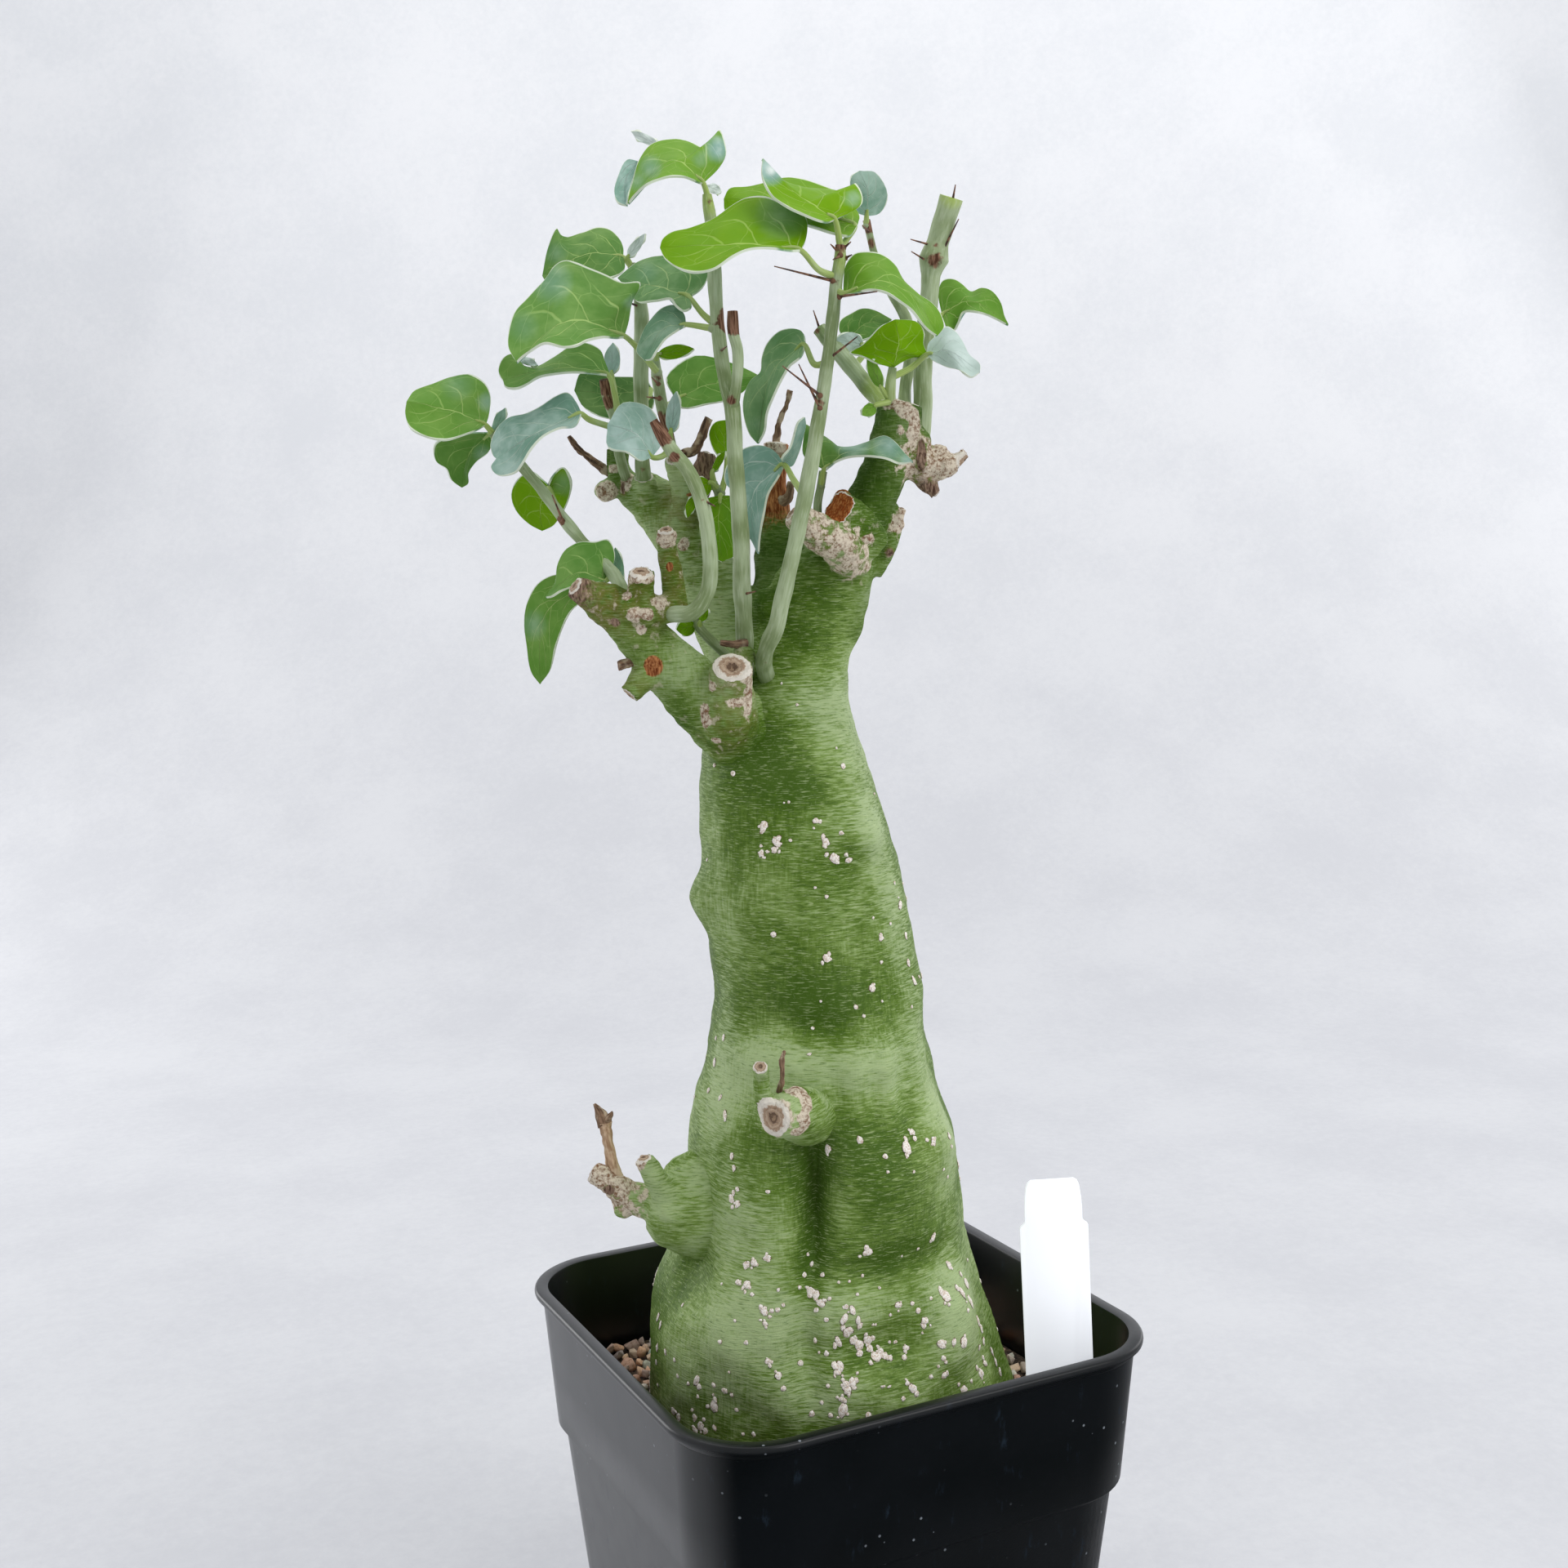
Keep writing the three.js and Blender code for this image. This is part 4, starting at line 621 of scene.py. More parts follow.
# Warts and scars that show: (x, y, half width, half height, look, height), in pixels and millimetres.
SCARS = [
    (777, 752, 1.5, 1.3, "cork", 0.6), (792, 752, 1.3, 1.3, "cork", 0.6), (807, 739, 1.5, 1.2, "cork", 0.6),
    (785, 771, 1, 0.8, "cork", 0.4), (768, 732, 1.1, 1.2, "cork", 0.4), (800, 816, 2.2, 2.4, "dead", -0.3),
    (820, 694, 0.9, 1.1, "dead", -0.1), (753, 762, 1.2, 0.9, "rust", 0), (820, 874, 0.8, 0.6, "cork", 0.3),
    (901, 861, 1.6, 0.9, "cork", 0.2), (864, 877, 1.1, 2.6, "cork", 0.4), (872, 840, 0.7, 1, "cork", 0.4),
    (877, 906, 1, 0.7, "cork", 0.3), (912, 822, 1.4, 2.2, "cork", 0.5), (916, 850, 0.9, 5, "cork", 0.4),
    (886, 818, 1.4, 1.2, "cork", 0.4), (1098, 495, 3, 1.3, "cork", 0.4), (1110, 504, 2.2, 1.6, "cork", 0.4),
    (1119, 520, 1.3, 3, "cork", 0.5), (1103, 527, 0.7, 0.8, "cork", 0.5),
    (1114, 531, 0.7, 0.8, "cork", 0.5), (1128, 557, 1.3, 4.2, "rust", 0.3),
    (1062, 659, 1.6, 1, "cork", 0.4), (1089, 676, 1, 1, "rust", 0.4), (815, 1486, 1.5, 1.4, "olive", 0.4),
    (735, 1433, 2.6, 1.6, "cork", 0.5), (746, 1457, 1.6, 1.4, "rust", 0.2),
    (975, 1337, 2.4, 1.1, "cork", 0.5), (987, 1350, 1.2, 2.2, "cork", 0.5),
    (984, 1372, 1.2, 2.2, "cork", 0.5), (976, 1386, 1.4, 1.1, "cork", 0.4),
    (947, 1369, 4.4, 3.8, "cork", 0.2), (782, 1421, 2, 2, "cork", 0.3), (785, 706, 3, 1.3, "cork", 0.4),
    (815, 658, 2.6, 2.6, "pale", 0.1), (743, 602, 2.4, 2.6, "cork", 0.4), (769, 590, 1.6, 2.2, "cork", 0.5),
    (837, 668, 1.2, 1.5, "cork", 0.6), (806, 691, 1.1, 1, "cork", 0.5), (764, 598, 0.9, 1.6, "rust", 0.3),
    (752, 574, 1.2, 0.9, "cork", 0.4), (848, 606, 1.6, 0.5, "dead", 0.1), (943, 550, 4.4, 2.4, "pale", 0.2),
]
# What each bark is made of: how much cork, dead orange wood, dry brown wood and dark moss, and how pale its
# skin is. The olive limbs lie in the leaves' shade and are painted paler, as painted light.
LOOKS = {
    "skin": (0, 0, 0, 0, 0.2), "stem": (0, 0, 0, 0.1, 0.3), "green": (0.12, 0, 0, 0.4, 0),
    "olive": (0.14, 0, 0.14, 0, 0.6), "dark": (0.03, 0, 0, 0.9, -0.2), "corky": (0.52, 0, 0.3, 0, 0.5),
    "stub": (0.2, 0, 0.3, 0.1, 0), "cork": (1, 0, 0.1, 0, 0), "rust": (0.3, 0.35, 0.8, 0, 0),
    "dry": (0.1, 0, 1, 0, 0), "dead": (0, 1, 0, 0, 0), "pale": (0.85, 0.15, 0.2, 0, 0.5),
}
TRAITS = ("cork", "dead", "dry", "moss", "patch")
# How clean each kind of end is cut, from 0 to 1. At 2 the cut wood is orange.
CUTS = {"rough": 0.55, "grey": 0.8, "pit": 1, "cut": 1, "orange": 2}
UNDER_FOOT = 229
UNDER_TOP = 287.5
WOOD_GRAIN = 0.57  # the width of a face
STEPS = 16  # how finely a limb is followed when the barks are blended
CHORDS = 24  # how finely a tube is followed when its length is measured
PIT_DEPTH = 0.9
SCAR_REACH = 3  # how deep a scar goes into the wood
BARE_TOP = 304  # the green skin shows through the bark below this height


def through(places, t):
    """The point at t, from 0 to 1, on a smooth curve through places. Each span takes an equal share."""
    last = len(places) - 1
    k = min(int(t * last), last - 1)
    part = t * last - k
    b, c = places[k], places[k + 1]
    a = places[k - 1] if k else b * 2 - c
    d = places[k + 2] if k + 2 <= last else c * 2 - b
    ab, bc, cd = (math.sqrt((q - p).length) or 1e-3 for p, q in ((a, b), (b, c), (c, d)))
    leave = ((b - a) / ab - (c - a) / (ab + bc) + (c - b) / bc) * bc
    arrive = ((c - b) / bc - (d - b) / (bc + cd) + (d - c) / cd) * bc
    bend = (c - b) * 3 - leave * 2 - arrive + part * ((b - c) * 2 + leave + arrive)
    return b + part * (leave + part * bend)


def rod(bm, places, radii, sides=20, step=1.0, paint=0):
    """A closed tube through places, in metres, with a radius in millimetres at each. Its UV map runs
    once round it and 1 along each centimetre of it."""
    rough = [through(places, i / CHORDS) for i in range(CHORDS + 1)]
    length = sum((q - p).length for p, q in zip(rough, rough[1:])) / MM
    rows = max(3, round(length / step)) + 2
    rings = []
    across = None
    for i in range(rows + 1):
        t = min(max((i - 1) / (rows - 2), 0), 1)
        along = (through(places, min(t + 0.01, 1)) - through(places, max(t - 0.01, 0))).normalized()
        if across is None:
            across = along.cross(Vector((1, 0, 0)) if abs(along.z) > 0.8 else UP)
        across = (across - along * across.dot(along)).normalized()
        k = min(int(t * (len(radii) - 1)), len(radii) - 2)
        part = t * (len(radii) - 1) - k
        radius = 0 if i in (0, rows) else (radii[k] + (radii[k + 1] - radii[k]) * part) * MM
        rings.append((through(places, t), across * radius, along.cross(across) * radius))

    def on_rod(u, v):
        middle, side, front = rings[round(v * rows)]
        return middle + side * math.cos(math.tau * u) + front * math.sin(math.tau * u)

    faces = stretch(bm, sides, rows, on_rod, paint)
    uv = bm.loops.layers.uv.active
    for face in faces:
        for loop in face.loops:
            loop[uv].uv.y *= length / 10
    return faces


bm = mesh_start()
stretch(bm, 110, 60, sheath(UNDER_FOOT, UNDER_TOP, lambda share: 0.45 * (1 - share)))
for places, radii, look, end in LIMBS:
    rod(bm, [at(place) for place in places], radii)
for place, radius in KNOBS:
    spot = Matrix.Translation(at(place))
    bmesh.ops.create_icosphere(bm, subdivisions=3, radius=radius * MM, matrix=spot)
bmesh.ops.recalc_face_normals(bm, faces=bm.faces)
grown = worked(as_mesh("joined", bm), "grown", "REMESH", mode="VOXEL", voxel_size=WOOD_GRAIN * MM)
bm = mesh_start(*TRAITS, "cut", "ring", "swell")
bm.from_mesh(grown)
for _ in range(5):
    bmesh.ops.smooth_vert(bm, verts=bm.verts, factor=0.5, use_axis_x=True, use_axis_y=True, use_axis_z=True)

# The bark at each corner point is a blend of the looks of the limbs nearest to it.
spots = np.array([vert.co for vert in bm.verts]) / MM
blend = np.zeros((len(spots), len(TRAITS)))
weight = np.full(len(spots), 1e-9)
cut_near = np.zeros(len(spots))
ring_near = np.ones(len(spots))
raised = np.zeros(len(spots))
for places, radii, look, end in LIMBS:
    line = [at(place) for place in places]
    centres = np.array([through(line, i / STEPS) for i in range(STEPS + 1)]) / MM
    thick = np.interp(np.linspace(0, 1, STEPS + 1), np.linspace(0, 1, len(radii)), radii)
    apart = np.linalg.norm(spots[:, None] - centres[None], axis=2)
    share = np.exp(-2.5 * np.clip((apart / thick).min(axis=1), 0, 9))
    blend += share[:, None] * np.array(LOOKS[look])
    weight += share
    if end:
        axis = centres[-1] - centres[-2]
        axis = axis / np.linalg.norm(axis)
        off = spots - centres[-1]
        along = off @ axis
        beside = np.linalg.norm(off - along[:, None] * axis, axis=1)
        here = (beside < thick[-1] * 1.05) & (along > -0.45) & (along < 2.5)
        cut_near[here] = CUTS[end]
        ring_near[here] = beside[here] / thick[-1]
        if end == "pit":
            raised[here] -= PIT_DEPTH * np.exp(-((beside[here] / thick[-1] / 0.26) ** 4))
skin_rows = [trunk_row(round(float(z), 1)) for z in spots[:, 2]]
off_skin = np.array([math.hypot(p[0] - row.x, p[1] - row.y) - row.w for p, row in zip(spots, skin_rows)])
bare = np.exp(-np.clip(off_skin, 0, 20) / 1.6) * np.clip((BARE_TOP - spots[:, 2]) / 36, 0, 1)
blend = blend / weight[:, None] * (1 - bare[:, None])
wood_tree = BVHTree.FromBMesh(bm)
for x, y, wide, tall, look, height in SCARS:
    spot, *_ = wood_tree.ray_cast(EYE, (at((x, y, 0)) - EYE).normalized())
    if spot is None:
        continue
    off = spots - np.array(spot) / MM
    spans = ((rightward, wide), (upward, tall), (toward, SCAR_REACH))
    spread = sum((off @ np.array(axis) / span) ** 2 for axis, span in spans)
    share = np.exp(-(spread**2))
    blend = blend * (1 - share[:, None]) + share[:, None] * np.array(LOOKS[look])
    raised += share * height
bark_traits = traits_of(bm, *TRAITS)
cut, ring, swell = traits_of(bm, "cut", "ring", "swell")
bm.normal_update()
moves = []
for i, vert in enumerate(bm.verts):
    for trait, value in zip(bark_traits, blend[i]):
        vert[trait] = float(value)
    vert[cut], vert[ring] = float(cut_near[i]), float(ring_near[i])
    p = vert.co / MM
    cork, dead, dry, moss, paleness = blend[i]
    lumps = noise.noise(p / 3.1) * 0.35 + noise.noise(p / 1.4) * (0.1 + 0.35 * cork + 0.15 * dry)
    flakes = max(noise.noise(Vector((p.x / 1.1, p.y / 1.1, p.z / 2.2)) + UP * 40), 0) * 0.9 * cork
    if cut_near[i]:
        lumps = 0.3 * noise.noise(p / 0.9) - 0.25
    # On the old wood the swell trait is only noise, which paints the green bark paler and darker at random.
    vert[swell] = float(0.4 + noise.noise(p / 6))
    row, shown = skin_rows[i], float(bare[i])
    # Where skin shows, the old wood takes the skin's patches with their painted light and shade; elsewhere
    # the looks' paleness and noise.
    there = summed(patches_and_shade, row, math.atan2(p.y - row.y, p.x - row.x), p.z) if shown > 0.02 else 0
    vert[bark_traits[-1]] = float(paleness + there * shown + noise.noise(p / 8) * 0.6 * (1 - shown))
    moves.append(vert.normal * ((lumps + flakes * 0.6) * (1 - shown * 0.9) + float(raised[i])) * MM)
for vert, move in zip(bm.verts, moves):
    vert.co += move

bark = Paint("old bark")
green, green_relief = paint_skin(bark)
cork, dead, dry, moss = (bark.trait(name) for name in TRAITS[:4])
streaks = bark.grain((2.2, 2.2, 0.35), 4, 0.6)
crumbs = bark.grain(1.3, 5, 0.7)
blotches = bark.grain(0.42, 3)
tint = bark.over(green, "304e10", moss * 0.75)
tint = bark.over(tint, "7f9c58", bark.ramp(streaks, 0.54, 0.74) * moss * 0.4)
tint = bark.over(tint, "6f6a30", bark.ramp(dry, 0.05, 0.4) * bark.ramp(blotches, 0.25, 0.6) * 0.75)
flaked = bark.ramp(cork * 0.9 + blotches * 1.3 + crumbs * 0.5 - 0.85, 0.3, 0.5)
ragged = bark.blend(crumbs * 0.75 + blotches * 0.25, 0.38, 0.58, "7c5a40", "dbcfba")
tint = bark.mix(flaked * bark.ramp(cork, 0.05, 0.3), tint, ragged)
timber = bark.blend(streaks, 0.35, 0.7, "6e3517", "c88a58")
tint = bark.mix(bark.ramp(dead + crumbs * 0.5 - 0.25, 0.35, 0.6), tint, timber)
dried = bark.blend(streaks, 0.35, 0.65, "4b352b", "a08672")
tint = bark.mix(bark.ramp(dry + crumbs * 0.6 - 0.3, 0.4, 0.65), tint, dried)
# A cut face has growth rings round a dark ring and a pale pith, inside a rim of white bark.
ring_place = bark.trait("ring") + crumbs * 0.6 - 0.3
growth = bark.maths("SINE", ring_place * 24) * 0.5 + 0.5
face = bark.mix(growth * 0.5 + bark.ramp(crumbs, 0.5, 0.75) * 0.4, colour("c9b29a"), colour("86654a"))
face = bark.over(face, "efe8da", bark.ramp(ring_place, 0.62, 0.76))
face = bark.over(face, "4a3020", bark.ramp(0.3 - ring_place, 0, 0.06) * 0.8)
face = bark.over(face, "b0967a", bark.ramp(0.16 - ring_place, 0, 0.05) * 0.7)
sawn = bark.trait("cut")
face = bark.mix(bark.ramp(sawn, 1.2, 1.8), face, bark.blend(streaks, 0.4, 0.7, "8a4218", "c4824a"))
is_cut = bark.ramp(sawn, 0.3, 0.6)
rough = green_relief * 0.5 + crumbs * 0.6 + streaks * 0.5 + growth * is_cut * 0.5
bark.wear(base_color=bark.mix(is_cut, tint, face), roughness=0.62 + crumbs * 0.25, specular_ior_level=0.08,
          normal=bark.relief(rough, 0.22))
finish("old_wood", bm, [bark], ["trunk"], crease=70)

# Beads and plates of pale cork break through the green skin, most of them near the foot. They are
# dead, crumbly bark, about half a millimetre to three millimetres wide.

# Those seen in the photograph: (x, y, width in millimetres, how much taller than wide).
SEEN_CORK = [
    (898, 947, 1.2, 1.2), (875, 937, 1, 1), (1032, 938, 1.4, 1), (966, 982, 0.7, 1), (960, 983, 0.5, 1),
    (935, 1012, 1.7, 1.7), (950, 1030, 1.9, 1.2), (948, 1041, 1.6, 1), (932, 1045, 1.6, 1.1),
    (940, 1043, 1, 0.8), (999, 1005, 1.7, 0.8), (968, 1029, 0.8, 1), (1011, 1031, 1.5, 1.3),
    (1030, 1020, 1.2, 0.8), (1022, 1051, 2.2, 1.2), (1039, 1053, 1.6, 0.8), (1036, 1046, 1, 1),
    (998, 1087, 0.7, 1), (1012, 1098, 1, 1), (947, 1144, 1.4, 0.9), (1012, 1173, 1.8, 1),
    (1102, 1108, 1.8, 1.2), (1079, 1149, 1.5, 0.9), (1109, 1146, 1.3, 1.6), (1112, 1179, 1.3, 1.5),
    (1119, 1201, 1.4, 1.9), (1125, 1196, 0.9, 1), (1079, 1178, 0.9, 1), (1068, 1210, 1.8, 1.1),
    (1048, 1233, 1.1, 1), (1058, 1244, 0.9, 1), (995, 1259, 1, 0.8), (1005, 1226, 0.6, 1),
    (1080, 1226, 0.7, 1), (1116, 1233, 0.8, 1), (866, 1053, 0.9, 1), (1095, 1081, 0.8, 1),
    (1105, 1082, 0.8, 1), (1069, 1124, 0.7, 1), (1090, 1131, 0.8, 1), (886, 1271, 1.2, 1.4),
    (877, 1271, 1, 1.2), (976, 863, 0.8, 1), (957, 837, 0.6, 1), (1024, 916, 0.6, 1), (1070, 972, 0.7, 1),
    (865, 1283, 1.2, 1.8), (875, 1301, 1.3, 1.8), (868, 1335, 1.4, 1), (882, 1344, 1, 1.7),
    (888, 1366, 1.2, 2.4), (851, 1343, 0.8, 1), (991, 1291, 1.1, 0.7), (1014, 1359, 0.9, 1),
    (1014, 1407, 1.6, 1.6), (1053, 1396, 1.4, 1.4), (1084, 1416, 1.3, 0.9), (1110, 1406, 2.6, 1.3),
    (1116, 1386, 1.6, 0.9), (1120, 1394, 1.2, 1), (1135, 1396, 1, 1), (1143, 1397, 1.5, 1.4),
    (1162, 1391, 1.3, 1.5), (1165, 1404, 1, 1.2), (1087, 1435, 0.8, 1), (1119, 1435, 0.8, 1),
    (1155, 1432, 0.9, 1), (1160, 1441, 0.8, 1), (896, 1416, 1.2, 1.6), (899, 1430, 1.1, 1.5),
    (859, 1450, 1.3, 0.8), (848, 1465, 1, 1), (940, 1459, 1.1, 0.8), (903, 1456, 1.2, 1),
    (896, 1468, 1.8, 1.3), (903, 1474, 1.5, 1.2), (897, 1478, 1.2, 0.9), (1142, 1516, 1.7, 1),
    (1124, 1529, 0.8, 1), (1104, 1538, 0.6, 1), (1063, 1533, 2, 0.9), (989, 1536, 0.9, 1),
    (994, 1548, 1, 1.4), (939, 1540, 1.7, 0.8), (914, 1549, 1.7, 0.9), (923, 1546, 1.7, 1),
    (904, 1570, 1.6, 0.8), (915, 1573, 1.8, 1), (921, 1585, 1.1, 0.8), (985, 1561, 1.3, 1),
    (1007, 1561, 1.2, 0.8), (979, 1576, 1, 1), (953, 1579, 0.9, 1), (884, 1572, 0.7, 1),
    (993, 1582, 1.9, 1.2), (999, 1586, 1.8, 1.1), (1006, 1596, 1.9, 0.8), (1000, 1604, 1.3, 0.8),
    (1016, 1590, 1, 1), (1027, 1570, 0.7, 1), (1040, 1569, 0.7, 1), (1056, 1562, 0.9, 0.8),
    (1050, 1585, 0.8, 1), (1077, 1577, 0.7, 1), (936, 1606, 1.8, 1), (945, 1605, 1.1, 1),
    (952, 1604, 1.1, 1), (959, 1598, 0.9, 1), (937, 1621, 1.5, 0.7), (900, 1617, 0.8, 1),
    (1012, 1616, 1.2, 0.9), (1036, 1600, 1.2, 1), (1044, 1605, 1.3, 1.7), (1051, 1617, 1.3, 1.6),
    (1034, 1615, 1.5, 1.9), (1038, 1631, 2.2, 1.2), (1032, 1626, 1.2, 1.2), (1026, 1643, 1.4, 1.8),
    (1022, 1648, 1, 1.6), (1045, 1641, 2.2, 1.1), (1051, 1647, 2.2, 1.1), (1063, 1641, 2.1, 1.1),
    (1065, 1651, 1.7, 1), (1072, 1661, 2.2, 1.1), (1083, 1660, 1.7, 1.3), (1078, 1655, 1.5, 1),
    (1053, 1657, 1.5, 0.9), (1060, 1634, 1.1, 1), (1090, 1663, 1.1, 1.4), (998, 1641, 1, 1.3),
    (1012, 1657, 1.2, 1), (1003, 1656, 0.7, 1), (1022, 1672, 1.4, 1.7), (1029, 1673, 1.6, 1.6),
    (1025, 1681, 1.6, 0.8), (980, 1669, 1.2, 1.2), (941, 1667, 1.7, 0.7), (953, 1684, 1.5, 1.1),
    (959, 1700, 1.3, 1), (914, 1644, 1.1, 1), (882, 1643, 1, 1), (893, 1680, 0.7, 1),
    (1036, 1696, 1.7, 1.1), (1044, 1693, 1.7, 1.3), (1048, 1690, 1.2, 1), (1038, 1703, 1.9, 0.9),
    (1032, 1727, 2, 1.6), (1031, 1714, 1.6, 0.8), (1014, 1697, 1, 1), (1006, 1717, 0.9, 1),
    (994, 1731, 1.4, 1), (1017, 1733, 1.2, 1.1), (1063, 1733, 1.4, 1.1), (1132, 1617, 1.8, 0.9),
    (1124, 1605, 1.4, 1), (1117, 1596, 1, 1), (1100, 1598, 1.6, 0.9), (1069, 1622, 0.7, 1),
    (1072, 1622, 0.6, 1), (1158, 1587, 2.5, 1.1), (1162, 1550, 1.6, 1.2), (1183, 1572, 1.7, 1.5),
    (1184, 1543, 0.9, 1), (1178, 1583, 1.5, 2.2), (1188, 1594, 1.4, 2.4), (1172, 1577, 1.2, 1.4),
    (1176, 1560, 1, 1.5), (1197, 1617, 1.3, 2.2), (1201, 1627, 1.2, 2), (1204, 1642, 1.1, 1.8),
    (1199, 1650, 1.1, 1.4), (1180, 1643, 2.3, 1.1), (1168, 1644, 1.3, 1.5), (1152, 1646, 2, 1),
    (1109, 1651, 1.5, 1), (1096, 1643, 1, 0.8), (1089, 1643, 0.8, 1), (1107, 1662, 1.3, 1),
    (1155, 1663, 1.3, 0.9), (1158, 1668, 1, 1), (1149, 1673, 0.8, 1), (1156, 1684, 1.7, 1),
    (1140, 1686, 1.1, 1), (1206, 1669, 1.5, 1.2), (1201, 1682, 1.9, 1.2), (1196, 1675, 1.2, 1.2),
    (1189, 1691, 0.9, 1), (1180, 1702, 2.3, 0.9), (1117, 1700, 1.9, 1.1), (1111, 1694, 1.2, 1),
    (1122, 1707, 1.2, 1), (1081, 1698, 1.2, 0.5), (1089, 1698, 1.1, 0.5), (1106, 1713, 1.1, 1),
    (853, 1690, 1.6, 1.7), (856, 1698, 1.4, 1), (874, 1696, 1.3, 1), (843, 1694, 0.9, 1),
    (830, 1685, 1.1, 1), (826, 1665, 1.1, 1), (815, 1655, 1, 1.7), (805, 1650, 1, 2.6),
    (804, 1668, 0.9, 1.6), (806, 1613, 1.1, 2.6), (809, 1622, 1, 2.2), (806, 1696, 1, 1),
    (836, 1598, 0.7, 1.8), (888, 1703, 1.6, 1), (896, 1708, 1.1, 1), (874, 1722, 2, 1.2),
    (867, 1722, 1.1, 1), (851, 1735, 1.5, 1), (825, 1728, 1.7, 1.1), (831, 1735, 1.5, 1),
    (902, 1726, 1.1, 1), (862, 1738, 1, 1), (858, 1746, 1.7, 1.4), (852, 1752, 1.6, 1.1),
    (864, 1752, 1.5, 1.2), (829, 1742, 1.4, 1.3), (875, 1748, 1.2, 1.2), (923, 1756, 1.2, 1),
    (910, 1756, 0.9, 1), (1214, 1655, 1.2, 2.4), (1219, 1668, 1.2, 2), (1224, 1680, 1.2, 1.8),
    (1185, 1605, 0.9, 1.3), (1140, 1590, 0.9, 1), (1090, 1610, 0.8, 1),
]
HIDDEN_CORK = 330  # beads round the side that the photograph doesn't show
HIDDEN_FOOT = 92
HIDDEN_SPAN = 160
OUTSIDE = 80  # farther from the trunk's middle than any of its skin

pattern = bmesh.new()
bmesh.ops.create_uvsphere(pattern, u_segments=9, v_segments=6, radius=1)
bead = as_mesh("bead", pattern)


def cork_bead(bm, point, normal, width, tall, chance):
    """A dented, flattened bead on the skin. Its trait crown is 0 at the skin and 1 on top."""
    crown = bm.verts.layers.float["crown"]
    bm.from_mesh(bead)
    bm.verts.ensure_lookup_table()
    upright = (UP - normal * UP.dot(normal)).normalized()
    upright = (upright + normal.cross(upright) * chance.uniform(-0.5, 0.5)).normalized()
    basis = Matrix((upright.cross(normal), upright, normal)).transposed()
    shift = Vector([chance.uniform(0, 90) for _ in range(3)])
    half = width / 2 * MM
    for vert in bm.verts[-len(bead.vertices) :]:
        dent = 1 + 0.42 * noise.noise(vert.co * 1.2 + shift) + 0.3 * noise.noise(vert.co * 2.9 + shift)
        vert[crown] = max(vert.co.z, 0)
        local = Vector((vert.co.x * half, vert.co.y * half * tall, vert.co.z * (0.16 * half + 0.22 * MM)))
        vert.co = point + basis @ (local * dent)


chance = random.Random(11)
bm = mesh_start("crown")
for x, y, width, tall in SEEN_CORK:
    point, normal, *_ = skin_tree.ray_cast(EYE, (at((x, y, 0)) - EYE).normalized())
    if point is None:
        continue
    cork_bead(bm, point, normal, width, tall, chance)
    for _ in range(3 if width > 1.4 else 0):
        near = point + (level * chance.gauss(0, 0.4) + UP * chance.gauss(0, 0.5) * tall) * width * MM
        spot, facing, *_ = skin_tree.find_nearest(near)
        cork_bead(bm, spot, facing, width * chance.uniform(0.3, 0.65), chance.uniform(0.7, 1.6), chance)
count = 0
while count < HIDDEN_CORK:
    height = HIDDEN_FOOT + HIDDEN_SPAN * chance.random() ** 2.6
    angle = chance.uniform(0, math.tau)
    row = trunk_row(round(height, 1))
    start = Vector((row.x + OUTSIDE * math.cos(angle), row.y + OUTSIDE * math.sin(angle), height)) * MM
    point, normal, *_ = skin_tree.ray_cast(start, Vector((-math.cos(angle), -math.sin(angle), 0)))
    if normal.dot((EYE - point).normalized()) > -0.03:
        continue
    group = chance.randint(3, 6) if chance.random() < 0.09 else 1
    for _ in range(group):
        near = point + normal.cross(UP).normalized() * chance.gauss(0, 1.3) * MM * (group > 1)
        near += UP * chance.gauss(0, 1.8) * MM * (group > 1)
        spot, facing, *_ = skin_tree.find_nearest(near)
        cork_bead(bm, spot, facing, chance.uniform(0.6, 2.0), chance.uniform(0.8, 1.7), chance)
    count += group

cork_paint = Paint("cork beads")
crumble = cork_paint.grain(2.6, 4, 0.7)
top = cork_paint.blend(crumble, 0.36, 0.58, "d2bca8", "fffaf3")
above = cork_paint.ramp(cork_paint.trait("crown") + crumble * 0.35, 0.28, 0.52)
cork_paint.wear(base_color=cork_paint.mix(above, colour("614c34"), top), roughness=0.85,
                normal=cork_paint.relief(crumble, 0.12), specular_ior_level=0.15)
finish("cork_beads", bm, [cork_paint], crease=75, recalc=False)

# The pot is filled with a dark mix, topped with coarse mixed gravel that is heaped a little unevenly.
# The stones are loose: broken pebbles of pale, tan, orange and grey rock, with worn edges.

SOIL_DEPTH = 22
GAP = 0.35  # between the fill and the pot's wall
FILL_DIP = 1.5  # how far the mix lies under that level
FILL_CORNER = 12
FILL_RINGS = 12
STONE_PITCH = 3.3
STONE_SHIFT = 0.8
STONE_BED = 0.9  # how far the middle of a stone lies under the gravel's level
ROW_SHARE = 0.87  # the step between rows of stones, as a share of their pitch
STONE_EDGE = 1.2  # how far the stones keep from the fill's edge
STONE_CORNER = 14  # how round the corners of their bed are
gravel_top = POT_HEIGHT - SOIL_DEPTH
fill_half = wall_at(gravel_top) - WALL - GAP
fill_profile = [
    (0, 0, FLOOR + GAP), on_wall(WALL + 2, FLOOR + GAP), on_wall(WALL + GAP, FLOOR + 3),
    on_wall(WALL + GAP, LEDGE - 1.5), on_wall(WALL + GAP, LEDGE + 0.8),
    on_wall(WALL + GAP, gravel_top - FILL_DIP),
]
for k in range(1, FILL_RINGS + 1):
    inward = 1 - k / FILL_RINGS
    fill_profile.append((fill_half * inward, FILL_CORNER * inward, gravel_top - FILL_DIP))


